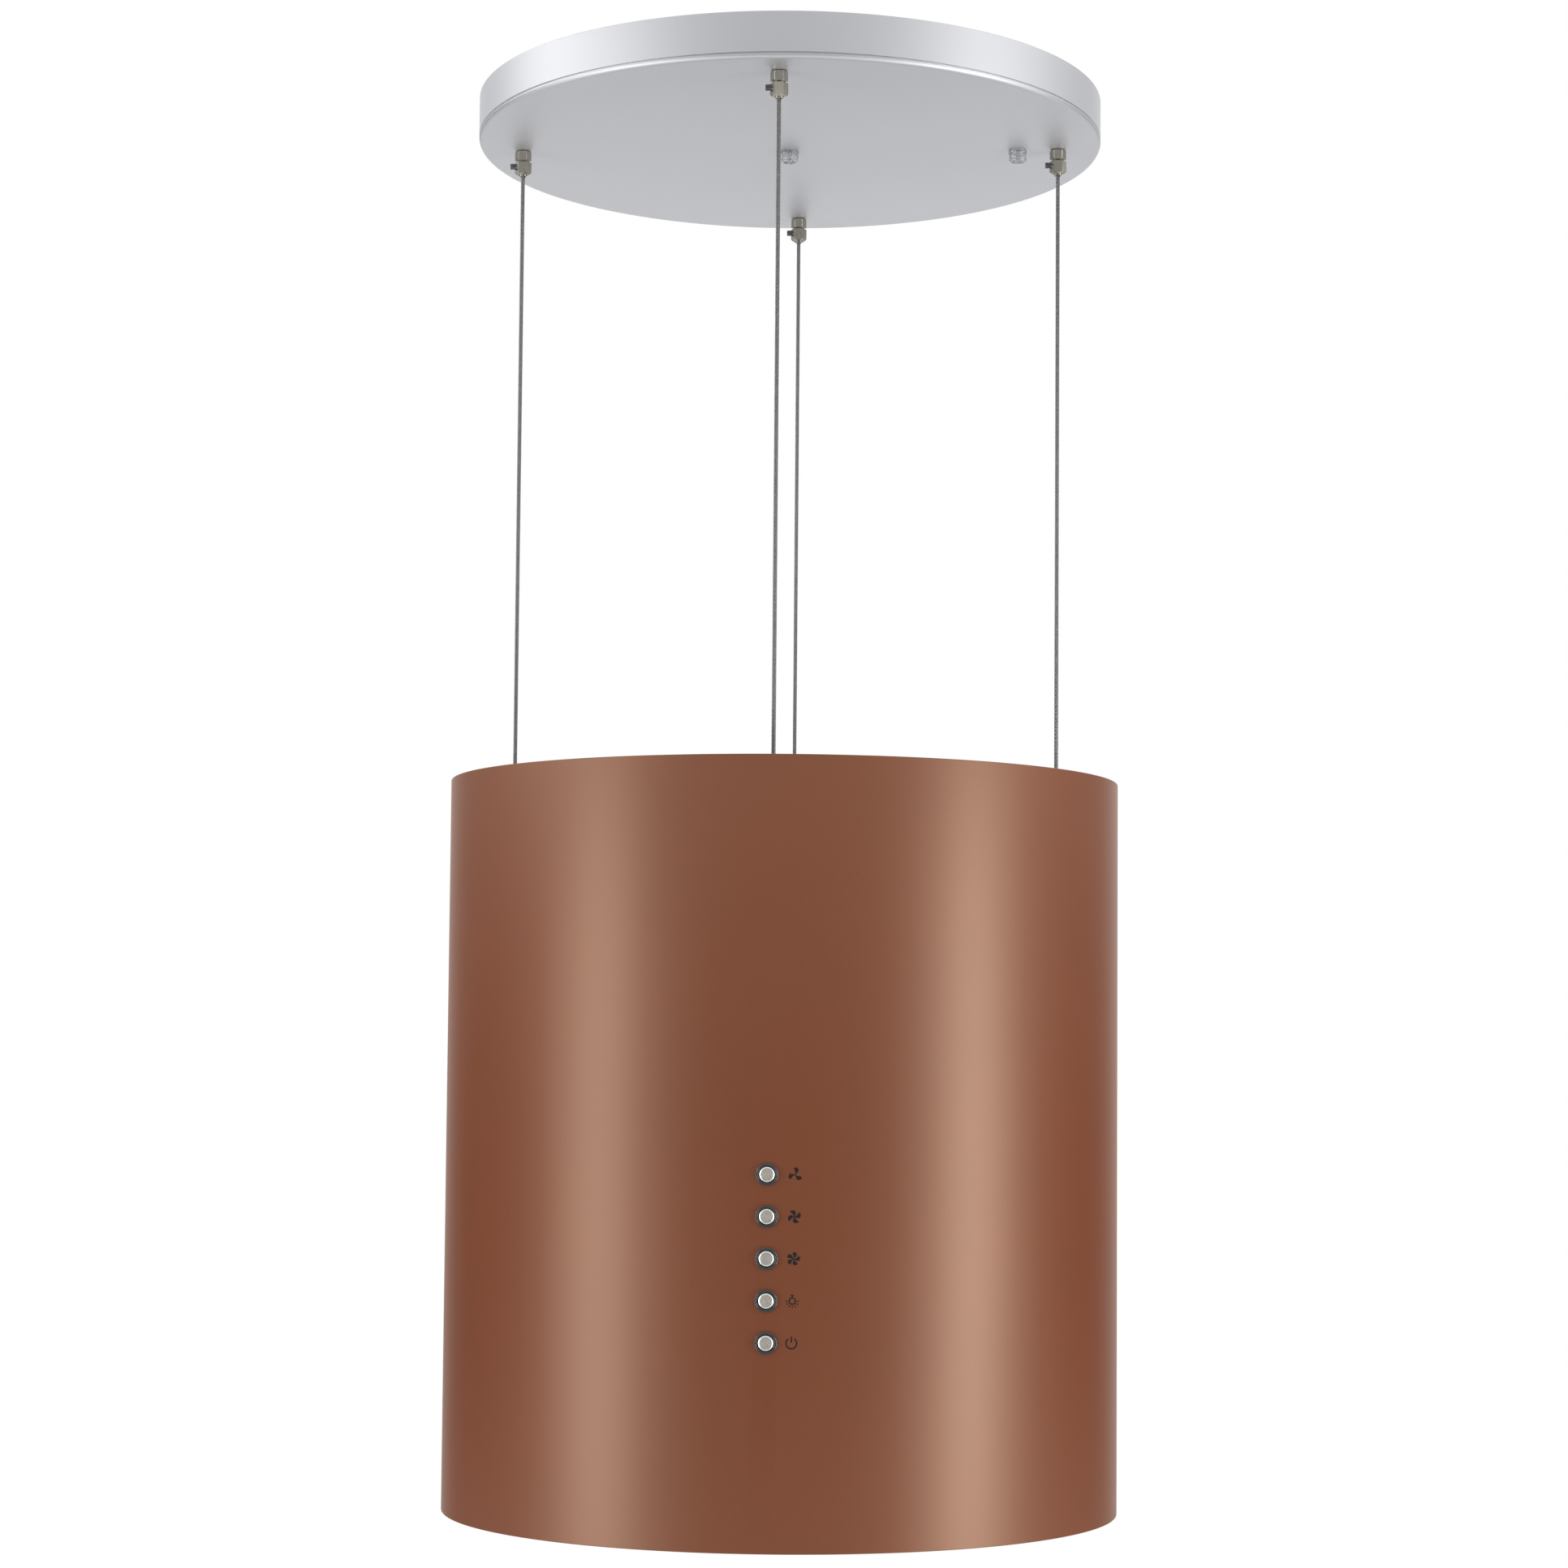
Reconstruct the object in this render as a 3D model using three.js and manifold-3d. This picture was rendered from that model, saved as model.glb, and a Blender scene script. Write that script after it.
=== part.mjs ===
// Island range hood: a cylindrical, ductless hood that hangs on four wires from a round ceiling canopy.
// Millimetres, +Z up. The origin is on the ceiling, at the centre of the canopy; the buttons face -Y.
import * as THREE from "three";
import { mergeVertices } from "three/addons/utils/BufferGeometryUtils.js";
import Module from "manifold-3d";

const wasm = await Module();
wasm.setup();

// ---------------------------------------------------------------- driving dimensions

const largeSides = 64; // facets of the hood and the canopy
const panelSides = 48;
const mediumSides = 24;
const roundSides = 16;
const smallSides = 12;
const tinySides = 8;

const gap = 0.3; // between pieces that touch
const runningGap = 0.4; // round a piece that moves or slides
const past = 1; // a cutting tool runs this far past what it cuts

const canopyDiameter = 340;
const canopyHeight = 24;
const canopyWall = 1.2;
const canopyEdge = 2; // rounding of the canopy's lower edge

const hoodDiameter = 360;
const hoodHeight = 388;
const hoodWall = 1.2;
const hoodLip = 3; // the rims are hemmed inwards by this much

const wireDrop = 350; // from the canopy's underside to the hood's top rim
const wireDiameter = 2.2;
const suspensionRadius = 147;

const bracketThickness = 3;
const bracketArmWidth = 36;
const bracketArmEnd = 14; // the arms run this far past the grippers
const bracketCableHole = 20;
const screwSlotRadius = 90;
const screwSlotLength = 18;
const screwSlotWidth = 5.5;
const bossDiameter = 13;
const barrelDiameter = 6;

const terminals = { length: 44, width: 20, height: 14, ridgeLength: 38, ridgeWidth: 13 };
const terminalOffset = 52;

const gripperAcrossFlats = 8;
const gripperLength = 14.2;
const gripperNutLength = 5.3;
const gripperSeam = 0.5;
const gripperChamfer = 1.2;
const gripperCollar = 0.6;
const gripperCollarWall = 0.9;
const lockScrewDiameter = 3.2;
const lockScrewStandOut = 2.3;
const lockScrewSeat = 1; // the lock screw's length inside the gripper's corner
const lockScrewDrop = 0.7; // below the seam

const cordGripDiameter = 10;
const cordGripFlange = 2;
const cordGripLength = 6;
const cordGripShank = 6;
const cordGripNut = 3;
const cordGripOffset = 125;
const cordGripDish = 0.8; // depth of the dished end
const cordGripDishInset = 1.6; // the dish ends this far inside the flange's rim
const cordGripStep = 0.3; // the body is this much smaller in radius than its flange
const cordGripNutStep = 0.5;
const cordHole = 2;

const topRecess = 13; // top rim down to the top cover
const bottomRecess = 14; // bottom rim up to the bottom panel
const panelThickness = 1.2;
const panelClearance = 0.6; // between the panels and the hood's wall
const panelFlange = 10;

const slotCount = 11;
const slotPitch = 13;
const slotWidth = 6;
const slotLength = 140;

const anchorAcrossFlats = 10;
const anchorHexHeight = 5;
const anchorFerruleDiameter = 6.4;
const anchorSocketDepth = 9;
const anchorStudDiameter = 5;
const anchorBelowRim = 1; // the ferrules end this far below the hood's top rim
const anchorStudEnd = 6; // of the stud below the hanger frame
const anchorNut = { acrossFlats: 8, height: 4, lift: 1.5 };

const frameBarWidth = 30;
const frameBarThickness = 3;
const frameBelowCover = 5;
const frameBarEnd = 12; // the bars run this far past the anchors
const strapWidth = 40;
const strapEnd = 6; // the straps stop this far above the charcoal filters

const glandRadius = 125;
const glandThread = 16;
const glandAcrossFlats = 20;
const glandHeight = 10;
const glandBore = 9;
const glandHexHeight = 4;
const glandDomeRadius = 8.6;
const glandDomeTop = 6; // radius of the dome's flat top
const glandDomeChamfer = 2;
const glandThreadEnd = 1; // of the thread below the nut

const blowerHeight = 190; // the fan's axis above the bottom rim
const impellerRadius = 90;
const impellerWidth = 90;
const bladeDepth = 14;
const bladeCount = 20;
const bladeTilt = 28; // degrees
const bladeThickness = 1;
const bladeInset = 0.5; // the blades stay this far inside the cage's ends and rims
const impellerRing = 2;
const hubRadius = 12;
const hubLength = 12;
const discInset = 28; // the carrying disc, from the cage's right end
const tongueGap = 8; // impeller to the scroll's tongue
const tongueAngle = 60; // degrees above +Y, seen from +X
const scrollGrowth = 42;
const scrollWidth = 110;
const scrollWall = 1;
const scrollSteps = 24;
const throatRise = 5; // the outlet's top above the scroll's largest radius

const motorDiameter = 84;
const motorLength = 66;
const motorBossDiameter = 52;
const motorBossLength = 4;
const motorEdge = 3;
const shaftDiameter = 8;
const shaftLength = 88;
const spiderThickness = 2;
const spiderArmWidth = 14;
const spiderArmEnd = 10; // the arms run this far past the inlet's rim

const inletLip = 11; // the side plates cover this much of the impeller's bore
const charcoalInset = 3; // inside the scroll's smallest radius
const charcoalDepth = 22;
const charcoalRim = 7;
const charcoalRecess = 5.6;
const charcoalEdge = 2;

const controlBox = { width: 40, depth: 80, height: 80 };
const controlLid = { overlap: 4, overhang: 1.5, thickness: 2 };
const capacitorDiameter = 35;
const capacitorLength = 62;
const capacitorEdge = 2;
const electricsClearance = 8; // beside the charcoal filters

const buttonCount = 5;
const buttonPitch = 20.35;
const lowestButton = 101.3; // above the bottom rim
const bezelDiameter = 11;
const bezelFlange = 1;
const bezelWall = 0.55;
const bezelBarrel = 6;
const bezelChamfer = 0.4;
const capDiameter = 7.5;
const capProud = 0.35; // the cap's crown stands this far out of the bezel
const capCollar = 1.5;
const capChamfer = 0.5;
const capStemDiameter = 3;
const buttonTravel = 1.5;
const switchSize = 6.5;
const switchDepth = 4;
const boardWidth = 16;
const boardThickness = 1.6;
const boardMargin = 17; // board beyond the end buttons
const boardPostDiameter = 5;
const boardPostInset = 5; // from the board's ends
const capStem = 3; // behind the cap's collar

const filterSize = 223.4;
const filterHeight = 9;
const filterRail = 12;
const filterLip = 4;
const filterClearance = 1.3; // round the filter in its opening
const filterFloor = 1.2; // the lip's thickness
const meshThickness = 5;
const hingeInset = 7.7; // hinge axis ahead of the filter's rear edge
const hingePinDiameter = 4;
const hingeEarThickness = 3;
const hingeEarGap = 2.5;
const hingeEarWidth = 12;
const hingePinEnd = 1.5; // of the pin outside each ear

const handleWidth = 50;
const handleDepth = 8;
const handleBar = 3;
const handleDrop = 9;

const lampHole = 44;
const lampRingDiameter = 50;
const lampLensDiameter = 34;
const lampBodyHeight = 16;
const lampFlange = 1.6;
const lampLip = 1.2;
const lampChamfer = 0.8;
const lampSetBack = 4; // the lens and its body end this far below the ring's barrel

// ---------------------------------------------------------------- derived levels and radii

const wireHole = wireDiameter + 2 * runningGap;
const hoodTop = -(canopyHeight + wireDrop);
const hoodBottom = hoodTop - hoodHeight;
const hoodRadius = hoodDiameter / 2;
const panelRadius = hoodRadius - hoodWall - panelClearance;
const coverLevel = hoodTop - topRecess; // the top cover's upper face
const coverUnderside = coverLevel - panelThickness;
const frameLevel = coverUnderside - frameBelowCover; // the hanger frame's upper face
const panelLevel = hoodBottom + bottomRecess; // the bottom panel's underside
const fanLevel = hoodBottom + blowerHeight;
const scrollStart = impellerRadius + tongueGap;
const scrollEnd = scrollStart + scrollGrowth;
const throatTop = scrollEnd + throatRise; // above the fan's axis
const sideInner = scrollWidth / 2;
const sideOuter = sideInner + scrollWall;
const impellerBore = impellerRadius - bladeDepth;
const inletRadius = impellerBore - inletLip;
const charcoalRadius = scrollStart - charcoalInset;
const charcoalOuter = sideOuter + gap + charcoalRecess + charcoalDepth;
const bezelBore = capDiameter / 2 + runningGap;
const barrelRadius = bezelBore + bezelWall;
const collarBack = bezelBarrel + gap + capCollar; // behind the hood's wall
const switchFront = collarBack + capStem + buttonTravel + gap;
const boardFront = switchFront + switchDepth;
const filterOpening = filterSize + 2 * filterClearance;
const hingeY = filterSize / 2 - hingeInset;
const hingeLevel = panelLevel + filterHeight / 2;
const lampX = (panelRadius + filterOpening / 2) / 2;

// ---------------------------------------------------------------- materials

function material(color, roughness, metalness) {
  return new THREE.MeshStandardMaterial({ color, roughness, metalness });
}

const copper = material(0x9a664a, 0.4, 0.8);
const silver = material(0xc4c9d0, 0.3, 0.9);
const nickel = material(0x9c968a, 0.35, 1);
const darkSteel = material(0x3a3c40, 0.4, 0.9);
const steel = material(0xb4b6b8, 0.35, 1);
const galvanised = material(0xa4a8aa, 0.5, 0.9);
const clearPlastic = material(0xd8dcdc, 0.15, 0);
const blackPlastic = material(0x1c1c1e, 0.5, 0);
const carbon = material(0x2a2a2a, 0.9, 0);
const board = material(0x1f4a30, 0.6, 0);
const aluminium = material(0xbfc2c4, 0.4, 0.9);
const frosted = material(0xf0efe6, 0.3, 0);

// ---------------------------------------------------------------- solids

function toSolid(geometry) {
  const bare = geometry.index ? geometry.toNonIndexed() : geometry.clone();
  bare.deleteAttribute("normal");
  bare.deleteAttribute("uv");
  const merged = mergeVertices(bare, 1e-4);
  const corners = merged.index.array;
  const kept = [];
  for (let i = 0; i < corners.length; i += 3) {
    const triangle = [corners[i], corners[i + 1], corners[i + 2]];
    if (new Set(triangle).size === 3) {
      kept.push(...triangle);
    }
  }
  const mesh = new wasm.Mesh({
    numProp: 3,
    vertProperties: new Float32Array(merged.attributes.position.array),
    triVerts: new Uint32Array(kept),
  });
  return new wasm.Manifold(mesh);
}

function toGeometry(solid) {
  const mesh = solid.getMesh();
  const geometry = new THREE.BufferGeometry();
  geometry.setAttribute("position", new THREE.BufferAttribute(mesh.vertProperties, 3));
  geometry.setIndex(new THREE.BufferAttribute(mesh.triVerts, 1));
  return geometry;
}

function joined(...shapes) {
  return toGeometry(shapes.map(toSolid).reduce((all, next) => all.add(next)));
}

function cut(shape, ...tools) {
  return toGeometry(tools.map(toSolid).reduce((left, tool) => left.subtract(tool), toSolid(shape)));
}

function common(shape, other) {
  return toGeometry(toSolid(shape).intersect(toSolid(other)));
}

// A box, centred on x and y, that stands on z.
function block(width, depth, height, x = 0, y = 0, z = 0) {
  return new THREE.BoxGeometry(width, depth, height).translate(x, y, z + height / 2);
}

// A cylinder, or a prism with few sides, that stands on z.
function rod(radius, length, sides, x = 0, y = 0, z = 0) {
  const shape = new THREE.CylinderGeometry(radius, radius, length, sides);
  return shape.rotateX(Math.PI / 2).translate(x, y, z + length / 2);
}

// A hexagonal prism with flats towards -Y and +Y.
function hexagon(acrossFlats, length, x = 0, y = 0, z = 0) {
  const prism = rod(acrossFlats / Math.sqrt(3), length, 6);
  return prism.rotateZ(Math.PI / 6).translate(x, y, z);
}

// A solid of revolution about Z. The profile's [radius, z] points run counter-clockwise.
function turned(profile, sides) {
  const points = profile.map(([radius, z]) => new THREE.Vector2(radius, z));
  return new THREE.LatheGeometry([...points, points[0]], sides).rotateX(Math.PI / 2);
}

// Stands the Z axis of a shape along +X.
function alongX(shape) {
  return shape.rotateY(Math.PI / 2);
}

// Stands the Z axis of a shape along -Y, out of the hood's front.
function outOfFront(shape) {
  return shape.rotateX(Math.PI / 2);
}

// An outline drawn in Y and Z, extruded along X about x = 0.
function slice(outline, width) {
  const shape = new THREE.ExtrudeGeometry(outline, { depth: width, bevelEnabled: false });
  return shape.translate(0, 0, -width / 2).rotateX(Math.PI / 2).rotateZ(Math.PI / 2);
}

function part(name, geometry, finish, x = 0, y = 0, z = 0) {
  const mesh = new THREE.Mesh(geometry, finish);
  mesh.name = name;
  mesh.position.set(x, y, z);
  return mesh;
}

// The four suspension points, numbered from +X round to -Y.
const suspensionPoints = [0, 1, 2, 3].map((quarter) => {
  const angle = (quarter * Math.PI) / 2;
  return {
    number: quarter + 1,
    x: Math.round(Math.cos(angle)) * suspensionRadius,
    y: Math.round(Math.sin(angle)) * suspensionRadius,
  };
});

// ---------------------------------------------------------------- canopy

function ceilingBracket() {
  const reach = 2 * (suspensionRadius + bracketArmEnd);
  const bossLength = canopyHeight - canopyWall - gap - bracketThickness;
  const plates = [
    block(reach, bracketArmWidth, bracketThickness, 0, 0, -bracketThickness),
    block(bracketArmWidth, reach, bracketThickness, 0, 0, -bracketThickness),
  ];
  const bossBottom = -(bracketThickness + bossLength);
  const bosses = suspensionPoints.map(({ x, y }) =>
    rod(bossDiameter / 2, bossLength + bracketThickness / 2, smallSides, x, y, bossBottom));
  const through = canopyHeight + 2 * past;
  const low = -canopyHeight - past;
  const barrels = suspensionPoints.map(({ x, y }) =>
    rod(barrelDiameter / 2 + gap, through, smallSides, x, y, low));
  const screwSlots = [-screwSlotRadius, screwSlotRadius].flatMap((offset) => [
    block(screwSlotLength, screwSlotWidth, through, offset, 0, low),
    block(screwSlotWidth, screwSlotLength, through, 0, offset, low),
  ]);
  const cableHole = rod(bracketCableHole / 2, through, smallSides, 0, bracketArmWidth, low);
  return cut(joined(...plates, ...bosses), ...barrels, ...screwSlots, cableHole);
}

function canopyCover() {
  const radius = canopyDiameter / 2;
  const edge = [0, 1, 2].map((step) => {
    const angle = (-90 + step * 45) * THREE.MathUtils.DEG2RAD;
    return [
      radius - canopyEdge + canopyEdge * Math.cos(angle),
      -canopyHeight + canopyEdge + canopyEdge * Math.sin(angle),
    ];
  });
  const profile = [
    [0, -canopyHeight],
    ...edge,
    [radius, 0],
    [radius - canopyWall, 0],
    [radius - canopyWall, -canopyHeight + canopyEdge],
    [radius - canopyEdge, -canopyHeight + canopyWall],
    [0, -canopyHeight + canopyWall],
  ];
  const below = -canopyHeight - past;
  const deep = canopyWall + 2 * past;
  const barrels = suspensionPoints.map(({ x, y }) =>
    rod(barrelDiameter / 2 + gap, deep, smallSides, x, y, below));
  const shanks = [0, cordGripOffset].map((x) =>
    rod(cordGripShank / 2 + gap, deep, smallSides, x, 0, below));
  return cut(turned(profile, largeSides), ...barrels, ...shanks);
}

// The hexagonal cover nut of one gripper; z = 0 is the canopy's underside.
function gripperNut() {
  const bottom = -gap - gripperNutLength;
  const nut = hexagon(gripperAcrossFlats, gripperNutLength, 0, 0, bottom);
  const through = gripperNutLength + 2 * past;
  return cut(nut, rod(barrelDiameter / 2 + gap, through, smallSides, 0, 0, bottom - past));
}

// The gripper's body: a hexagon with a chamfered foot, and the barrel that screws into the bracket.
function gripperBody() {
  const top = -gap - gripperNutLength - gripperSeam;
  const foot = -gripperLength + gripperCollar;
  const corner = gripperAcrossFlats / Math.sqrt(3);
  const turnedFoot = turned(
    [
      [0, foot],
      [corner - gripperChamfer, foot],
      [corner, foot + gripperChamfer],
      [corner, top],
      [0, top],
    ],
    smallSides,
  );
  const body = common(hexagon(gripperAcrossFlats, top - foot, 0, 0, foot), turnedFoot);
  const collarRadius = wireHole / 2 + gripperCollarWall;
  const collar = rod(collarRadius, 2 * gripperCollar, smallSides, 0, 0, -gripperLength);
  const barrelTop = canopyHeight - bracketThickness;
  const barrel = rod(barrelDiameter / 2, barrelTop - foot, smallSides, 0, 0, foot);
  const hole = rod(wireHole / 2, gripperLength + canopyHeight, smallSides, 0, 0, -gripperLength - past);
  const socket = alongX(rod(lockScrewDiameter / 2 + gap, corner, smallSides))
    .translate(-2 * corner + lockScrewSeat + gap, 0, lockScrewLevel());
  return cut(joined(body, collar, barrel), hole, socket);
}

function lockScrewLevel() {
  return -gap - gripperNutLength - gripperSeam - lockScrewDrop - lockScrewDiameter / 2;
}

// The small round release screw at the side of a gripper, towards -X.
function lockScrew() {
  const corner = gripperAcrossFlats / Math.sqrt(3);
  const length = lockScrewStandOut + lockScrewSeat;
  const screw = alongX(rod(lockScrewDiameter / 2, length, smallSides));
  return screw.translate(-corner - lockScrewStandOut, 0, lockScrewLevel());
}

// A clear cord grip: flange, grooved body with a dished end, and a shank with its nut inside the canopy.
function cordGrip() {
  const radius = cordGripDiameter / 2;
  const flangeBottom = -gap - cordGripFlange;
  const shankTop = canopyWall + gap;
  const profile = [
    [cordHole / 2, -gap - cordGripLength + cordGripDish],
    [radius - cordGripDishInset, -gap - cordGripLength],
    [radius - cordGripStep, -gap - cordGripLength],
    [radius - cordGripStep, flangeBottom],
    [radius, flangeBottom],
    [radius, -gap],
    [cordGripShank / 2, -gap],
    [cordGripShank / 2, shankTop],
    [radius - cordGripNutStep, shankTop],
    [radius - cordGripNutStep, shankTop + cordGripNut],
    [cordHole / 2, shankTop + cordGripNut],
  ];
  return turned(profile, smallSides);
}

function terminalBlock() {
  const { length, width, height, ridgeLength, ridgeWidth } = terminals;
  const base = block(length, width, height / 3, 0, 0, -height / 3);
  const ridge = block(ridgeLength, ridgeWidth, height - past, 0, 0, -height);
  return joined(base, ridge);
}

function suspensionWire() {
  const top = -canopyHeight - gripperLength / 2;
  const bottom = coverLevel + anchorTop() - anchorSocketDepth + gap;
  return rod(wireDiameter / 2, top - bottom, tinySides, 0, 0, bottom);
}

function canopy() {
  const group = new THREE.Group();
  const grip = cordGrip();
  group.add(part("ceiling_bracket", ceilingBracket(), galvanised));
  group.add(part("canopy_cover", canopyCover(), silver));
  const underBracket = -bracketThickness - gap;
  group.add(part("terminal_block", terminalBlock(), blackPlastic, -terminalOffset, 0, underBracket));
  group.add(part("cord_grip_centre", grip, clearPlastic, 0, 0, -canopyHeight));
  group.add(part("cord_grip_side", grip, clearPlastic, cordGripOffset, 0, -canopyHeight));
  for (const { number, x, y } of suspensionPoints) {
    group.add(part(`gripper_nut_${number}`, gripperNut(), nickel, x, y, -canopyHeight));
    group.add(part(`gripper_body_${number}`, gripperBody(), nickel, x, y, -canopyHeight));
    group.add(part(`lock_screw_${number}`, lockScrew(), darkSteel, x, y, -canopyHeight));
    group.add(part(`suspension_wire_${number}`, suspensionWire(), steel, x, y, 0));
  }
  return group;
}

// ---------------------------------------------------------------- hood: shell, covers and suspension

function hoodShell() {
  const inner = hoodRadius - hoodWall;
  const profile = [
    [inner - hoodLip, hoodBottom],
    [hoodRadius, hoodBottom],
    [hoodRadius, hoodTop],
    [inner - hoodLip, hoodTop],
    [inner - hoodLip, hoodTop - hoodWall],
    [inner, hoodTop - hoodWall],
    [inner, hoodBottom + hoodWall],
    [inner - hoodLip, hoodBottom + hoodWall],
  ];
  const drill = bezelDiameter;
  const holes = buttonLevels().map((level) =>
    outOfFront(rod(barrelRadius + gap, 2 * drill, smallSides)).translate(0, drill - hoodRadius, level));
  return cut(turned(profile, largeSides), ...holes);
}

function topCover() {
  const profile = [
    [0, coverUnderside],
    [panelRadius - panelThickness, coverUnderside],
    [panelRadius - panelThickness, coverUnderside - panelFlange],
    [panelRadius, coverUnderside - panelFlange],
    [panelRadius, coverLevel],
    [0, coverLevel],
  ];
  const below = coverUnderside - past;
  const deep = panelThickness + 2 * past;
  const slots = Array.from({ length: slotCount }, (_, i) =>
    block(slotWidth, slotLength, deep, (i - (slotCount - 1) / 2) * slotPitch, 0, below));
  const studs = suspensionPoints.map(({ x, y }) =>
    rod(anchorStudDiameter / 2 + gap, deep, smallSides, x, y, below));
  const gland = rod(glandThread / 2 + gap, deep, smallSides, glandPlace().x, glandPlace().y, below);
  return cut(turned(profile, panelSides), ...slots, ...studs, gland);
}

function glandPlace() {
  return { x: glandRadius * Math.SQRT1_2, y: glandRadius * Math.SQRT1_2 };
}

// The anchor's ferrule ends this far above the top cover.
function anchorTop() {
  return topRecess - anchorBelowRim;
}

// Hexagon and ferrule above the cover, stud and nut through the cover and the hanger frame.
function wireAnchor() {
  const studBottom = -panelThickness - frameBelowCover - frameBarThickness - gap - anchorStudEnd;
  const hex = hexagon(anchorAcrossFlats, anchorHexHeight, 0, 0, gap);
  const ferrule = rod(anchorFerruleDiameter / 2, anchorTop() - past, smallSides, 0, 0, past);
  const stud = rod(anchorStudDiameter / 2, past - studBottom, tinySides, 0, 0, studBottom);
  const nut = hexagon(anchorNut.acrossFlats, anchorNut.height, 0, 0, studBottom + anchorNut.lift);
  const socketBottom = anchorTop() - anchorSocketDepth;
  const socket = rod(wireHole / 2, anchorSocketDepth + past, smallSides, 0, 0, socketBottom);
  return cut(joined(hex, ferrule, stud, nut), socket);
}

// A cross of flat bars under the top cover, with two straps down to the blower's side plates.
function hangerFrame() {
  const reach = 2 * (suspensionRadius + frameBarEnd);
  const bottom = frameLevel - frameBarThickness;
  const throatMiddle = (throatInner() + scrollEnd) / 2;
  const strapX = sideOuter + gap + frameBarThickness / 2;
  const strapBottom = fanLevel + charcoalRadius + strapEnd;
  const strapLength = frameLevel - strapBottom;
  const strap = (side) =>
    block(frameBarThickness, strapWidth, strapLength, side * strapX, throatMiddle, strapBottom);
  const bars = joined(
    block(reach, frameBarWidth, frameBarThickness, 0, 0, bottom),
    block(frameBarWidth, reach, frameBarThickness, 0, 0, bottom),
    block(2 * strapX + frameBarThickness, strapWidth, frameBarThickness, 0, throatMiddle, bottom),
    strap(-1),
    strap(1),
  );
  const through = frameBarThickness + 2 * past;
  const studs = suspensionPoints.map(({ x, y }) =>
    rod(anchorStudDiameter / 2 + gap, through, smallSides, x, y, bottom - past));
  return cut(bars, ...studs);
}

function cableGland() {
  const nutBottom = -panelThickness - gap - glandHexHeight;
  const threadBottom = nutBottom - glandThreadEnd;
  const hex = hexagon(glandAcrossFlats, glandHexHeight, 0, 0, gap);
  const dome = turned(
    [
      [0, glandHexHeight],
      [glandDomeRadius, glandHexHeight],
      [glandDomeRadius, glandHeight - glandDomeChamfer],
      [glandDomeTop, glandHeight],
      [0, glandHeight],
    ],
    smallSides,
  );
  const thread = rod(glandThread / 2, glandHexHeight - threadBottom, smallSides, 0, 0, threadBottom);
  const nut = hexagon(glandAcrossFlats, glandHexHeight, 0, 0, nutBottom);
  const boreLength = glandHeight - threadBottom + 2 * past;
  const bore = rod(glandBore / 2, boreLength, smallSides, 0, 0, threadBottom - past);
  return cut(joined(hex, dome, thread, nut), bore);
}

// The pan that closes the hood's bottom, with the filter's opening, two lamp holes and two hinge ears.
function bottomPanel() {
  const profile = [
    [0, panelLevel],
    [panelRadius, panelLevel],
    [panelRadius, panelLevel + panelFlange + panelThickness],
    [panelRadius - panelThickness, panelLevel + panelFlange + panelThickness],
    [panelRadius - panelThickness, panelLevel + panelThickness],
    [0, panelLevel + panelThickness],
  ];
  const through = panelThickness + 2 * past;
  const opening = block(filterOpening, filterOpening, through, 0, 0, panelLevel - past);
  const lampHoles = [-lampX, lampX].map((x) =>
    rod(lampHole / 2, through, mediumSides, x, 0, panelLevel - past));
  const pan = cut(turned(profile, panelSides), opening, ...lampHoles);
  const earX = filterOpening / 2 + hingeEarGap + hingeEarThickness / 2;
  const earHeight = hingeLevel - panelLevel + hingeEarWidth / 2;
  const ears = [-earX, earX].map((x) =>
    block(hingeEarThickness, hingeEarWidth, earHeight, x, hingeY, panelLevel));
  const drill = earX + hingeEarThickness;
  const pin = alongX(rod(hingePinDiameter / 2 + gap, 2 * drill, smallSides))
    .translate(-drill, hingeY, hingeLevel);
  return cut(joined(pan, ...ears), pin);
}

// ---------------------------------------------------------------- blower

// The wall of the scroll that faces the tongue, in Y from the fan's axis.
function throatInner() {
  return scrollStart * Math.cos(tongueAngle * THREE.MathUtils.DEG2RAD);
}

// Points of the spiral from the tongue round to +Y, drawn in Y and Z.
function spiral(inset) {
  return Array.from({ length: scrollSteps + 1 }, (_, i) => {
    const share = i / scrollSteps;
    const angle = (tongueAngle + (360 - tongueAngle) * share) * THREE.MathUtils.DEG2RAD;
    const radius = scrollStart + scrollGrowth * share - inset;
    return new THREE.Vector2(radius * Math.cos(angle), radius * Math.sin(angle));
  });
}

function blowerWrapper() {
  const outline = new THREE.Shape([
    new THREE.Vector2(throatInner(), throatTop),
    ...spiral(0),
    new THREE.Vector2(scrollEnd, throatTop),
    new THREE.Vector2(scrollEnd - scrollWall, throatTop),
    ...spiral(scrollWall).reverse(),
    new THREE.Vector2(throatInner() + scrollWall, spiral(scrollWall)[0].y),
    new THREE.Vector2(throatInner() + scrollWall, throatTop),
  ]);
  return slice(outline, scrollWidth - 2 * gap);
}

function blowerSide() {
  const outline = new THREE.Shape([
    new THREE.Vector2(throatInner(), throatTop),
    ...spiral(0),
    new THREE.Vector2(scrollEnd, throatTop),
  ]);
  const inlet = new THREE.Path().absarc(0, 0, inletRadius, 0, 2 * Math.PI, true);
  outline.holes.push(inlet);
  return slice(outline, scrollWall);
}

function impellerBlade(angle) {
  const middle = (impellerRadius + impellerBore) / 2;
  const depth = bladeDepth - 2 * bladeInset;
  const width = impellerWidth - 2 * bladeInset;
  const blade = block(depth, bladeThickness, width, 0, 0, -width / 2);
  return blade
    .rotateZ(bladeTilt * THREE.MathUtils.DEG2RAD)
    .translate(middle, 0, 0)
    .rotateZ(angle);
}

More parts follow.
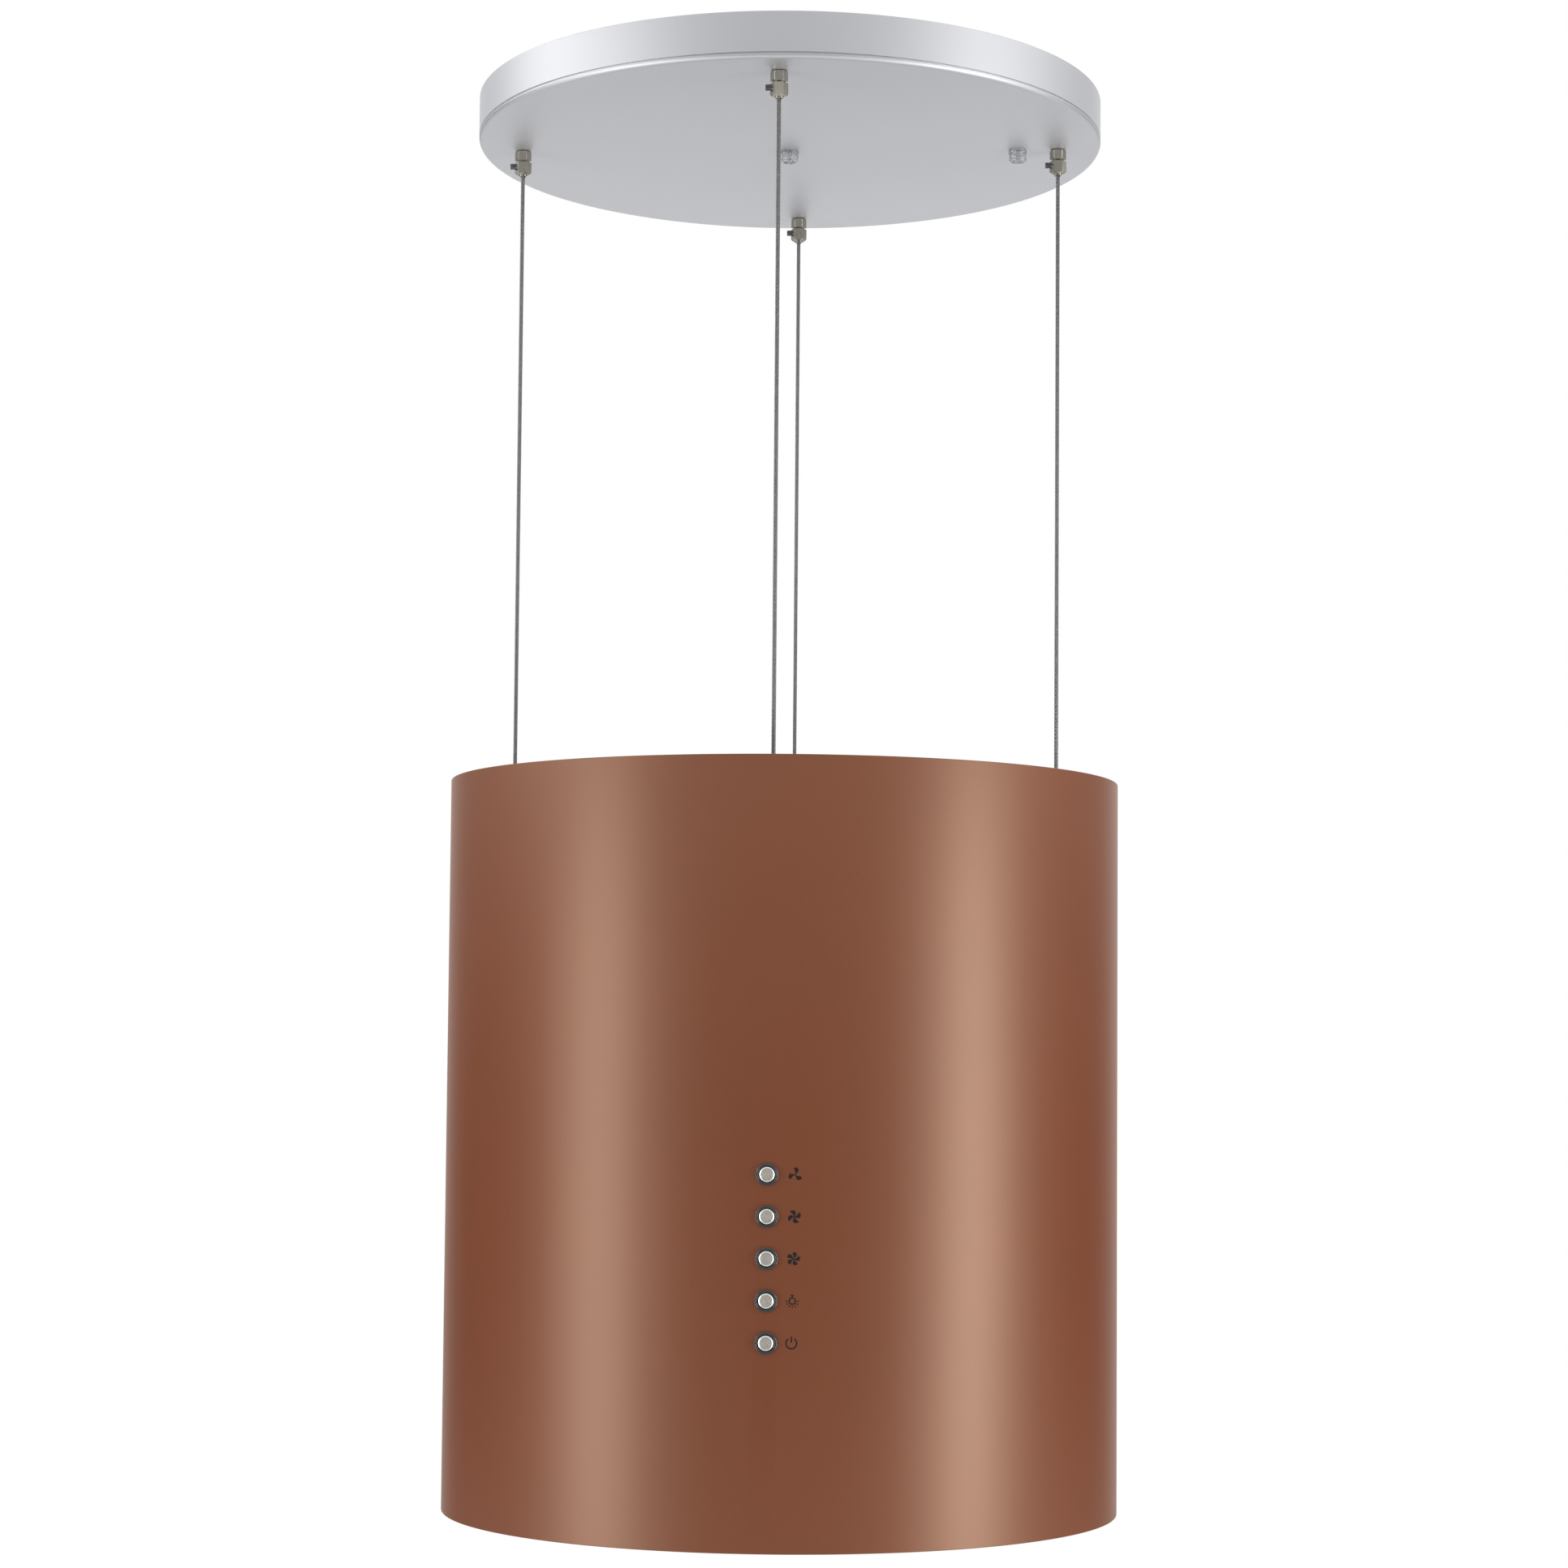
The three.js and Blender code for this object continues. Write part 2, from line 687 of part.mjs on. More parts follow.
function ring(outer, inner, thickness, sides, z) {
  return turned([[inner, z], [outer, z], [outer, z + thickness], [inner, z + thickness]], sides);
}

// A cage of tilted blades between two end rings, carried by a disc and a hub.
function impeller() {
  const half = impellerWidth / 2;
  const hubBore = shaftDiameter / 2 + gap;
  const discLevel = half - discInset;
  const blades = Array.from({ length: bladeCount }, (_, i) =>
    impellerBlade((i * 2 * Math.PI) / bladeCount));
  const cage = joined(
    ring(impellerRadius, impellerBore, impellerRing, mediumSides, -half),
    ring(impellerRadius, impellerBore, impellerRing, mediumSides, half - impellerRing),
    ring(impellerBore + impellerRing, hubBore, impellerRing, mediumSides, discLevel),
    ring(hubRadius, hubBore, hubLength, smallSides, discLevel),
    ...blades,
  );
  return alongX(cage);
}

// The rear shoulder of the motor, inside the left side plate.
function motorRear() {
  return -sideOuter - gap + motorBossLength;
}

function motorBody() {
  const bore = shaftDiameter / 2 + runningGap;
  const radius = motorDiameter / 2;
  const rear = motorRear();
  const profile = [
    [bore, rear - motorBossLength + gap],
    [motorBossDiameter / 2, rear - motorBossLength + gap],
    [motorBossDiameter / 2, rear],
    [radius - motorEdge, rear],
    [radius, rear + motorEdge],
    [radius, rear + motorLength - motorEdge],
    [radius - motorEdge, rear + motorLength],
    [bore, rear + motorLength],
  ];
  return alongX(turned(profile, roundSides));
}

function motorShaft() {
  return alongX(rod(shaftDiameter / 2, shaftLength, smallSides)).translate(motorRear(), 0, 0);
}

// Three arms across the left inlet, from the motor's boss to the side plate.
function motorBracket() {
  const reach = inletRadius + spiderArmEnd;
  const level = -sideOuter - gap - spiderThickness;
  const arms = [90, 210, 330].map((degrees) =>
    block(reach, spiderArmWidth, spiderThickness, reach / 2).rotateZ(degrees * THREE.MathUtils.DEG2RAD));
  const hub = rod(motorBossDiameter / 2, spiderThickness, mediumSides);
  return alongX(joined(hub, ...arms)).translate(level, 0, 0);
}

// A round cartridge with a rim that stands on the blower's side plate; z = 0 is the plate's face.
function charcoalFilter() {
  const innerFace = gap + charcoalRecess;
  const outerFace = innerFace + charcoalDepth;
  const profile = [
    [0, innerFace],
    [charcoalRadius - charcoalRim, innerFace],
    [charcoalRadius - charcoalRim, gap],
    [charcoalRadius, gap],
    [charcoalRadius, outerFace - charcoalEdge],
    [charcoalRadius - charcoalEdge, outerFace],
    [0, outerFace],
  ];
  return alongX(turned(profile, mediumSides));
}

function blower() {
  const group = new THREE.Group();
  group.position.z = fanLevel;
  const sideMiddle = sideInner + scrollWall / 2;
  const leftCharcoal = charcoalFilter().rotateZ(Math.PI);
  group.add(part("blower_wrapper", blowerWrapper(), galvanised));
  group.add(part("blower_side_left", blowerSide(), galvanised, -sideMiddle));
  group.add(part("blower_side_right", blowerSide(), galvanised, sideMiddle));
  group.add(part("impeller", impeller(), galvanised));
  group.add(part("motor_shaft", motorShaft(), steel));
  group.add(part("motor_body", motorBody(), darkSteel));
  group.add(part("motor_bracket", motorBracket(), galvanised));
  group.add(part("charcoal_filter_left", leftCharcoal, carbon, -sideOuter));
  group.add(part("charcoal_filter_right", charcoalFilter(), carbon, sideOuter));
  return group;
}

// ---------------------------------------------------------------- electrical pieces

function controlHousing() {
  const { width, depth, height } = controlBox;
  const { overlap, overhang, thickness } = controlLid;
  const body = block(width, depth, height, 0, 0, -height);
  const lidWidth = width + 2 * overhang;
  const lidDepth = depth + 2 * overhang;
  const lid = block(lidWidth, lidDepth, overlap + thickness, 0, 0, -height - thickness);
  return joined(body, lid);
}

function capacitor() {
  const radius = capacitorDiameter / 2;
  const profile = [
    [0, -capacitorLength],
    [radius - capacitorEdge, -capacitorLength],
    [radius, -capacitorLength + capacitorEdge],
    [radius, 0],
    [0, 0],
  ];
  return turned(profile, roundSides);
}

function buttonLevels() {
  return Array.from({ length: buttonCount }, (_, i) => hoodBottom + lowestButton + i * buttonPitch);
}

// The board behind the buttons, with a switch for each one and two posts to the hood's wall.
function switchBoard() {
  const front = -hoodRadius + boardFront;
  const levels = buttonLevels();
  const bottom = levels[0] - boardMargin;
  const top = levels[buttonCount - 1] + boardMargin;
  const plate = block(boardWidth, boardThickness, top - bottom, 0, front + boardThickness / 2, bottom);
  const depth = switchDepth + boardThickness / 2;
  const switches = levels.map((level) =>
    block(switchSize, depth, switchSize, 0, front - switchDepth + depth / 2, level - switchSize / 2));
  const postLength = boardFront + boardThickness / 2 - hoodWall - panelClearance;
  const posts = [bottom + boardPostInset, top - boardPostInset].map((level) =>
    outOfFront(rod(boardPostDiameter / 2, postLength, tinySides))
      .translate(0, front + boardThickness / 2, level));
  return joined(plate, ...switches, ...posts);
}

// One bezel; z = 0 is the hood's outer face and z points out of it.
function buttonBezel() {
  const profile = [
    [bezelBore, -bezelBarrel],
    [barrelRadius, -bezelBarrel],
    [barrelRadius, gap],
    [bezelDiameter / 2, gap],
    [bezelDiameter / 2, gap + bezelFlange - bezelChamfer],
    [bezelDiameter / 2 - bezelChamfer, gap + bezelFlange],
    [bezelBore, gap + bezelFlange],
  ];
  return outOfFront(turned(profile, smallSides));
}

// One cap: crowned front, a collar behind the bezel's barrel, and a stem towards the switch.
function buttonCap() {
  const radius = capDiameter / 2;
  const front = gap + bezelFlange + capProud;
  const profile = [
    [0, -collarBack - capStem],
    [capStemDiameter / 2, -collarBack - capStem],
    [capStemDiameter / 2, -collarBack],
    [barrelRadius, -collarBack],
    [barrelRadius, -collarBack + capCollar],
    [radius, -collarBack + capCollar],
    [radius, front - capChamfer],
    [radius - capChamfer, front],
    [0, front],
  ];
  return outOfFront(turned(profile, smallSides));
}

function electrics() {
  const group = new THREE.Group();
  const underFrame = frameLevel - frameBarThickness - gap;
  const boxX = charcoalOuter + electricsClearance + controlBox.width / 2;
  const capacitorX = -(charcoalOuter + electricsClearance + capacitorDiameter / 2);
  group.add(part("control_box", controlHousing(), galvanised, boxX, 0, underFrame));
  group.add(part("capacitor", capacitor(), aluminium, capacitorX, 0, underFrame));
  group.add(part("switch_board", switchBoard(), board));
  buttonLevels().forEach((level, i) => {
    group.add(part(`button_bezel_${i + 1}`, buttonBezel(), darkSteel, 0, -hoodRadius, level));
    group.add(part(`button_cap_${i + 1}`, buttonCap(), steel, 0, -hoodRadius, level));
  });
  return group;
}

// ---------------------------------------------------------------- grease filter

// A square frame with a lip under the mesh, bored along its rear rail for the hinge pin.
function filterFrame() {
  const inner = filterSize - 2 * filterRail;
  const mouth = inner - 2 * filterLip;
  const frame = block(filterSize, filterSize, filterHeight, 0, 0, panelLevel);
  const pocket = block(inner, inner, filterHeight, 0, 0, panelLevel + filterFloor);
  const open = block(mouth, mouth, 3 * filterHeight, 0, 0, panelLevel - filterHeight);
  const bore = alongX(rod(hingePinDiameter / 2 + runningGap, filterSize + 2 * past, smallSides))
    .translate(-filterSize / 2 - past, hingeY, hingeLevel);
  return cut(frame, pocket, open, bore);
}

function filterMesh() {
  const size = filterSize - 2 * filterRail - 2 * gap;
  return block(size, size, meshThickness, 0, 0, panelLevel + filterFloor + gap);
}

function filterHandle() {
  const y = -filterSize / 2 + filterRail / 2;
  const bottom = panelLevel - handleDrop;
  const height = handleDrop - gap;
  const postX = handleWidth / 2 - handleBar / 2;
  const posts = [-postX, postX].map((x) => block(handleBar, handleDepth, height, x, y, bottom));
  return joined(block(handleWidth, handleDepth, handleBar, 0, y, bottom), ...posts);
}

function hingePin() {
  const length = filterOpening + 2 * (hingeEarGap + hingeEarThickness + hingePinEnd);
  return alongX(rod(hingePinDiameter / 2, length, smallSides)).translate(-length / 2, hingeY, hingeLevel);
}

// ---------------------------------------------------------------- lamps

function lampRing() {
  const bore = lampLensDiameter / 2 + gap;
  const barrel = lampHole / 2 - gap;
  const profile = [
    [bore - lampLip, -gap - lampFlange],
    [lampRingDiameter / 2 - lampChamfer, -gap - lampFlange],
    [lampRingDiameter / 2, -gap],
    [barrel, -gap],
    [barrel, lampBodyHeight],
    [bore, lampBodyHeight],
    [bore, -gap],
    [bore - lampLip, -gap],
  ];
  return turned(profile, mediumSides);
}

// The frosted lens with the lamp's closed body behind it.
function lampLens() {
  return rod(lampLensDiameter / 2, lampBodyHeight - lampSetBack, mediumSides);
}

function hood() {
  const group = new THREE.Group();
  group.add(part("hood_shell", hoodShell(), copper));
  group.add(part("top_cover", topCover(), galvanised));
  group.add(part("hanger_frame", hangerFrame(), galvanised));
  group.add(part("bottom_panel", bottomPanel(), copper));
  for (const { number, x, y } of suspensionPoints) {
    group.add(part(`wire_anchor_${number}`, wireAnchor(), nickel, x, y, coverLevel));
  }
  group.add(part("cable_gland", cableGland(), blackPlastic, glandPlace().x, glandPlace().y, coverLevel));
  for (const [side, x] of [["left", -lampX], ["right", lampX]]) {
    group.add(part(`lamp_ring_${side}`, lampRing(), steel, x, 0, panelLevel));
    group.add(part(`lamp_lens_${side}`, lampLens(), frosted, x, 0, panelLevel));
  }
  group.add(part("filter_frame", filterFrame(), aluminium));
  group.add(part("filter_mesh", filterMesh(), aluminium));
  group.add(part("filter_handle", filterHandle(), steel));
  group.add(part("hinge_pin", hingePin(), steel));
  group.add(blower());
  group.add(electrics());
  return group;
}

const rangeHood = new THREE.Group();
rangeHood.add(canopy());
rangeHood.add(hood());

export default rangeHood;
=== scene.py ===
# The looks of the island range hood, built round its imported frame. Metres, in the row's frame: the
# origin is on the ceiling at the canopy's centre, +Z is up and the buttons face -Y.
import math

import bmesh
import bpy
from mathutils import Matrix, Vector


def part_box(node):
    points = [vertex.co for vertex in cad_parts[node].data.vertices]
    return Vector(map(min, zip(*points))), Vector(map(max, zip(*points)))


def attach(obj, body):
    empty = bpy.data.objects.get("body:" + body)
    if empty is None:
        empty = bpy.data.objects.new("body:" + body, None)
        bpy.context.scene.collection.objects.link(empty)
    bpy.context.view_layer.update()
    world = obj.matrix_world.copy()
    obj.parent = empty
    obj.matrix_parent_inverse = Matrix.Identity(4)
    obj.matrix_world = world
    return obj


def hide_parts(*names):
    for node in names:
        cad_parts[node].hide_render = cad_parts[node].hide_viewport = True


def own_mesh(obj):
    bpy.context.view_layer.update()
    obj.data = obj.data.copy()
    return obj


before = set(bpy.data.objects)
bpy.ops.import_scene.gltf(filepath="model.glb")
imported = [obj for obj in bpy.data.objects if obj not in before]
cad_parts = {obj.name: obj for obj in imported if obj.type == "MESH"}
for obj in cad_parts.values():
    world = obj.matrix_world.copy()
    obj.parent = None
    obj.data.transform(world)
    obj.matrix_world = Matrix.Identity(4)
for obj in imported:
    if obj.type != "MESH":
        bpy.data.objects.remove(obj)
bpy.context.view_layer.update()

MM = 0.001
NUMBERS = (1, 2, 3, 4)
BUTTONS = (1, 2, 3, 4, 5)
SIDES = ("left", "right")
FINE, LARGE, MEDIUM, SMALL = 256, 192, 64, 32  # segments round the shell and round other pieces
SHEET = 1.2 * MM  # wall of the canopy, the shell and the covers
SHANK_HOLE = 3.3 * MM  # radius of the holes that the grippers' and cord grips' shanks pass
WIRE_BORE = 1.5 * MM  # radius of the wires' bores in the grippers and anchors


# ---------------------------------------------------------------- places, from the frame


def middle(node):
    low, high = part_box(node)
    return (low + high) / 2


CANOPY_LOW, CANOPY_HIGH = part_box("canopy_cover")
SHELL_LOW, SHELL_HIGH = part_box("hood_shell")
CANOPY_RADIUS = CANOPY_HIGH.x
SHELL_RADIUS = SHELL_HIGH.x
BUTTON_LEVELS = [middle(f"button_cap_{i}").z for i in BUTTONS]


# ---------------------------------------------------------------- camera


def make_camera():
    """A long lens near the buttons' height, a little to the right of the hood's front."""
    distance, azimuth, height = 1.8256, math.radians(2.216), -0.5339
    pitch, roll = math.radians(3.704), math.radians(0.469)
    data = bpy.data.cameras.new("camera")
    data.lens = 77.49
    data.sensor_width = 36
    data.shift_y = 0.05
    data.clip_start = 0.05
    data.clip_end = 50
    camera = bpy.data.objects.new("camera", data)
    bpy.context.scene.collection.objects.link(camera)
    camera.location = (distance * math.sin(azimuth), -distance * math.cos(azimuth), height)
    aim = Matrix.Rotation(azimuth, 4, "Z") @ Matrix.Rotation(math.pi / 2 + pitch, 4, "X")
    camera.rotation_euler = (aim @ Matrix.Rotation(roll, 4, "Z")).to_euler()
    bpy.context.scene.camera = camera


make_camera()


# ---------------------------------------------------------------- materials


def shader(name, **inputs):
    """A Principled material; each input is set on the shader's own socket."""
    material = bpy.data.materials.new(name)
    material.use_nodes = True
    bsdf = material.node_tree.nodes["Principled BSDF"]
    for key, value in inputs.items():
        bsdf.inputs[key.replace("_", " ")].default_value = value
    return material, material.node_tree, bsdf


def rgb(red, green, blue):
    return (red, green, blue, 1.0)


def node(tree, kind, **settings):
    made = tree.nodes.new(kind)
    for key, value in settings.items():
        if key in made.inputs:
            made.inputs[key].default_value = value
        else:
            setattr(made, key, value)
    return made


def noise(tree, scale, detail=3.0, stretch=(1, 1, 1)):
    """Noise in object space, in cycles per metre, stretched along the axes."""
    place = node(tree, "ShaderNodeTexCoord")
    mapping = node(tree, "ShaderNodeMapping")
    mapping.inputs["Scale"].default_value = stretch
    texture = node(tree, "ShaderNodeTexNoise", Scale=scale, Detail=detail)
    tree.links.new(place.outputs["Object"], mapping.inputs["Vector"])
    tree.links.new(mapping.outputs["Vector"], texture.inputs["Vector"])
    return texture.outputs["Fac"]


def ranged(tree, value, start, end, low=0.0, high=1.0, **settings):
    """Turns a value from start to end into one from low to high."""
    made = node(tree, "ShaderNodeMapRange", **settings)
    for key, bound in (("From Min", start), ("From Max", end), ("To Min", low), ("To Max", high)):
        made.inputs[key].default_value = bound
    tree.links.new(value, made.inputs["Value"])
    return made.outputs["Result"]


def spread(tree, value, low, high):
    """Turns noise, which stays mostly between 0.3 and 0.7, into a value from low to high."""
    return ranged(tree, value, 0.3, 0.7, low, high)


def mixed(tree, value, first, second):
    """A colour between first and second by value."""
    made = node(tree, "ShaderNodeMix", data_type="RGBA")
    made.inputs["A"].default_value = first
    made.inputs["B"].default_value = second
    tree.links.new(value, made.inputs["Factor"])
    return made.outputs["Result"]


def bump(tree, bsdf, value, depth, strength=1.0):
    made = node(tree, "ShaderNodeBump", Strength=strength, Distance=depth)
    tree.links.new(value, made.inputs["Height"])
    tree.links.new(made.outputs["Normal"], bsdf.inputs["Normal"])


def metal(name, color, roughness, grain_scale=900, stretch=(1, 1, 1), depth=0.00001, vary=0.06):
    """A metal whose colour, roughness and surface vary with one grain."""
    material, tree, bsdf = shader(name, Metallic=1.0)
    grain = noise(tree, grain_scale, 4.0, stretch)
    darker = rgb(*(c * (1 - vary) for c in color))
    lighter = rgb(*(min(1.0, c * (1 + vary)) for c in color))
    tree.links.new(mixed(tree, spread(tree, grain, 0, 1), darker, lighter), bsdf.inputs["Base Color"])
    tree.links.new(spread(tree, grain, roughness - 0.04, roughness + 0.05), bsdf.inputs["Roughness"])
    bump(tree, bsdf, grain, depth)
    return material


def copper_paint():
    """Satin copper paint: fine metal flake and a glossy binder whose highlight stays nearly white."""
    material, tree, bsdf = shader(
        "copper_paint", Metallic=0.2, IOR=2.0, Specular_Tint=rgb(0.97, 1.0, 0.8)
    )
    flake = noise(tree, 2600, 2.0)
    cloud = noise(tree, 14, 2.0)
    flecks = mixed(tree, spread(tree, flake, 0, 1), rgb(0.205, 0.038, 0.007), rgb(0.245, 0.05, 0.011))
    tone = mixed(tree, spread(tree, cloud, 0, 1), rgb(0.96, 0.96, 0.96), rgb(1, 1, 1))
    shade = node(tree, "ShaderNodeMix", data_type="RGBA", blend_type="MULTIPLY")
    shade.inputs["Factor"].default_value = 1.0
    tree.links.new(flecks, shade.inputs["A"])
    tree.links.new(tone, shade.inputs["B"])
    tree.links.new(shade.outputs["Result"], bsdf.inputs["Base Color"])
    tree.links.new(spread(tree, flake, 0.39, 0.45), bsdf.inputs["Roughness"])
    bump(tree, bsdf, noise(tree, 700, 2.0), 0.00002, 0.6)
    return material


def canopy_silver():
    """Satin silver, smooth enough that only its gloss wanders a little."""
    material, tree, bsdf = shader("canopy_silver", Metallic=1.0)
    grain = noise(tree, 6, 2.0)
    color = mixed(tree, spread(tree, grain, 0, 1), rgb(0.72, 0.725, 0.755), rgb(0.75, 0.755, 0.78))
    tree.links.new(color, bsdf.inputs["Base Color"])
    tree.links.new(spread(tree, grain, 0.52, 0.56), bsdf.inputs["Roughness"])
    return material


def clear_plastic():
    material, tree, bsdf = shader("clear_plastic", IOR=1.49, Transmission_Weight=0.85)
    haze = noise(tree, 800, 3.0)
    color = mixed(tree, spread(tree, haze, 0, 1), rgb(0.72, 0.74, 0.75), rgb(0.8, 0.82, 0.83))
    tree.links.new(color, bsdf.inputs["Base Color"])
    tree.links.new(spread(tree, haze, 0.08, 0.16), bsdf.inputs["Roughness"])
    return material


def spun_steel():
    """Bright steel with the fine rings of a lathe's cut, round an axis along Y."""
    material, tree, bsdf = shader("spun_steel", Metallic=0.65, Anisotropic=0.6)
    grain = noise(tree, 1500, 3.0)
    color = mixed(tree, spread(tree, grain, 0, 1), rgb(0.68, 0.64, 0.56), rgb(0.78, 0.74, 0.66))
    tree.links.new(color, bsdf.inputs["Base Color"])
    tree.links.new(spread(tree, grain, 0.26, 0.36), bsdf.inputs["Roughness"])
    tangent = node(tree, "ShaderNodeTangent", direction_type="RADIAL", axis="Y")
    tree.links.new(tangent.outputs["Tangent"], bsdf.inputs["Tangent"])
    return material


def plastic(name, color, roughness, scale=600, depth=0.00002):
    material, tree, bsdf = shader(name, IOR=1.46)
    grain = noise(tree, scale, 3.0)
    darker = rgb(*(c * 0.8 for c in color))
    tree.links.new(mixed(tree, spread(tree, grain, 0, 1), darker, rgb(*color)), bsdf.inputs["Base Color"])
    tree.links.new(spread(tree, grain, roughness - 0.05, roughness + 0.06), bsdf.inputs["Roughness"])
    bump(tree, bsdf, grain, depth)
    return material


def frosted_lens():
    material, tree, bsdf = shader("frosted_lens", IOR=1.5, Transmission_Weight=0.35)
    grain = noise(tree, 1800, 2.0)
    color = mixed(tree, spread(tree, grain, 0, 1), rgb(0.86, 0.86, 0.83), rgb(0.95, 0.95, 0.93))
    tree.links.new(color, bsdf.inputs["Base Color"])
    tree.links.new(spread(tree, grain, 0.35, 0.5), bsdf.inputs["Roughness"])
    bump(tree, bsdf, grain, 0.00003)
    return material


COPPER = copper_paint()
SILVER = canopy_silver()
NICKEL = metal("antique_nickel", (0.5, 0.475, 0.405), 0.15, 1500, (1, 1, 0.2), 0.000003, 0.12)
CLEAR = clear_plastic()
SPUN = spun_steel()
BLACK_CHROME = metal("black_chrome", (0.17, 0.17, 0.175), 0.3, 1200, depth=0.000002)
CHAMFER = metal("cut_chamfer", (0.92, 0.92, 0.89), 0.36, 1200, depth=0.000002)
ROPE = metal("rope_steel", (0.26, 0.26, 0.26), 0.24, 2500, depth=0.000004, vary=0.15)
SHAFT = metal("shaft_steel", (0.58, 0.58, 0.59), 0.3, 1200)
ZINC = metal("zinc_sheet", (0.56, 0.58, 0.6), 0.42, 240, depth=0.000006, vary=0.05)
ALUMINIUM = metal("aluminium", (0.72, 0.73, 0.74), 0.36, 500, (1, 0.04, 1))
GREY_STEEL = metal("lock_steel", (0.16, 0.165, 0.17), 0.35, 1500)
MOTOR_PAINT = plastic("motor_paint", (0.05, 0.052, 0.055), 0.45, 900)
BLACK = plastic("black_plastic", (0.02, 0.02, 0.021), 0.45)
INK = plastic("printed_ink", (0.012, 0.009, 0.008), 0.5, 2000, 0.000004)
CARBON = plastic("charcoal_grid", (0.015, 0.015, 0.015), 0.8, 350, 0.0004)
BOARD = plastic("solder_mask", (0.02, 0.09, 0.045), 0.35, 700)
LENS = frosted_lens()


# ---------------------------------------------------------------- mesh helpers


def add(name, mesh, material, body, replaces=(), sharp=32):
    """Puts a finished mesh in the scene and ties it to its body, slot and CAD nodes.

    Edges that turn by more than sharp, in degrees, stay sharp.
    """
    mesh.name = name
    for polygon in mesh.polygons:
        polygon.use_smooth = True
    mesh.set_sharp_from_angle(angle=math.radians(sharp))
    piece = bpy.data.objects.new(name, mesh)
    bpy.context.scene.collection.objects.link(piece)
    materials = material if isinstance(material, (list, tuple)) else [material]
    mesh.materials.clear()
    for entry in materials:
        mesh.materials.append(entry)
    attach(piece, body)
    if replaces:
        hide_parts(*replaces)
    return piece


def mesh_from(points, faces):
    mesh = bpy.data.meshes.new("piece")
    mesh.from_pydata([tuple(point) for point in points], [], faces)
    mesh.validate()
    mesh.update()
    return mesh


def arc(center_r, center_z, radius, start, end, steps=4):
    """Profile points on a round corner, from start to end in degrees."""
    made = []
    for i in range(steps + 1):
        angle = math.radians(start + (end - start) * i / steps)
        made.append((center_r + radius * math.cos(angle), center_z + radius * math.sin(angle)))
    return made


def turned(profile, segments):
    """A closed mesh of revolution about Z; profile is a counter-clockwise loop of (radius, z)."""
    points, rings = [], []
    for radius, level in profile:
        if radius < 1e-7:
            rings.append([len(points)] * segments)
            points.append((0, 0, level))
            continue
        rings.append(list(range(len(points), len(points) + segments)))
        for i in range(segments):
            angle = 2 * math.pi * i / segments
            points.append((radius * math.cos(angle), radius * math.sin(angle), level))
    faces = []
    for k, ring in enumerate(rings):
        above = rings[(k + 1) % len(rings)]
        for i in range(segments):
            j = (i + 1) % segments
            face = [ring[i], ring[j], above[j], above[i]]
            face = [v for n, v in enumerate(face) if v not in face[:n]]
            if len(face) > 2:
                faces.append(face)
    return mesh_from(points, faces)


def moved(mesh, matrix):
    mesh.transform(matrix)
    return mesh


def at(mesh, x, y, z):
    return moved(mesh, Matrix.Translation((x, y, z)))


def out_of_front(mesh, level):
    """Turns a mesh made about Z to point out of the hood's front at a level."""
    turn = Matrix.Rotation(math.pi / 2, 4, "X")
    return moved(mesh, Matrix.Translation((0, -SHELL_RADIUS, level)) @ turn)


def along_x(mesh, y=0.0, z=0.0):
    """Lays a mesh made about Z along X, at a place in Y and Z."""
    return moved(mesh, Matrix.Translation((0, y, z)) @ Matrix.Rotation(math.pi / 2, 4, "Y"))


def flat_plate(outlines, low, high, bevel=0.0):
    """A flat plate between two levels from closed outlines in X and Y; inner outlines are holes."""
    curve = bpy.data.curves.new("plate", "CURVE")
    curve.dimensions = "2D"
    curve.fill_mode = "BOTH"
    curve.extrude = (high - low) / 2 - bevel
    curve.bevel_depth = bevel
    curve.bevel_resolution = 0
    curve.offset = -bevel
    for outline in outlines:
        spline = curve.splines.new("POLY")
        spline.points.add(len(outline) - 1)
        for point, (x, y) in zip(spline.points, outline):
            point.co = (x, y, 0, 1)
        spline.use_cyclic_u = True
    holder = bpy.data.objects.new("plate", curve)
    bpy.context.scene.collection.objects.link(holder)
    mesh = bpy.data.meshes.new_from_object(holder)
    bpy.data.objects.remove(holder)
    bpy.data.curves.remove(curve)
    tidy = bmesh.new()
    tidy.from_mesh(mesh)
    bmesh.ops.remove_doubles(tidy, verts=tidy.verts, dist=1e-7)
    bmesh.ops.recalc_face_normals(tidy, faces=tidy.faces)
    tidy.to_mesh(mesh)
    tidy.free()
    return at(mesh, 0, 0, (low + high) / 2)


def circle(radius, x=0.0, y=0.0, segments=MEDIUM):
    turn = 2 * math.pi / segments
    return [(x + radius * math.cos(i * turn), y + radius * math.sin(i * turn)) for i in range(segments)]


def rectangle(width, depth, x=0.0, y=0.0, corner=0.0, steps=4):
    """A rectangle's outline, with round corners."""
    if not corner:
        w, d = width / 2, depth / 2
        return [(x - w, y - d), (x + w, y - d), (x + w, y + d), (x - w, y + d)]
    w, d = width / 2 - corner, depth / 2 - corner
    made = []
    for quarter, (sx, sy) in enumerate([(1, 1), (-1, 1), (-1, -1), (1, -1)]):
        made += arc(x + sx * w, y + sy * d, corner, quarter * 90, quarter * 90 + 90, steps)
    return made


def turned_outline(outline, angle):
    c, s = math.cos(angle), math.sin(angle)
    return [(x * c - y * s, x * s + y * c) for x, y in outline]


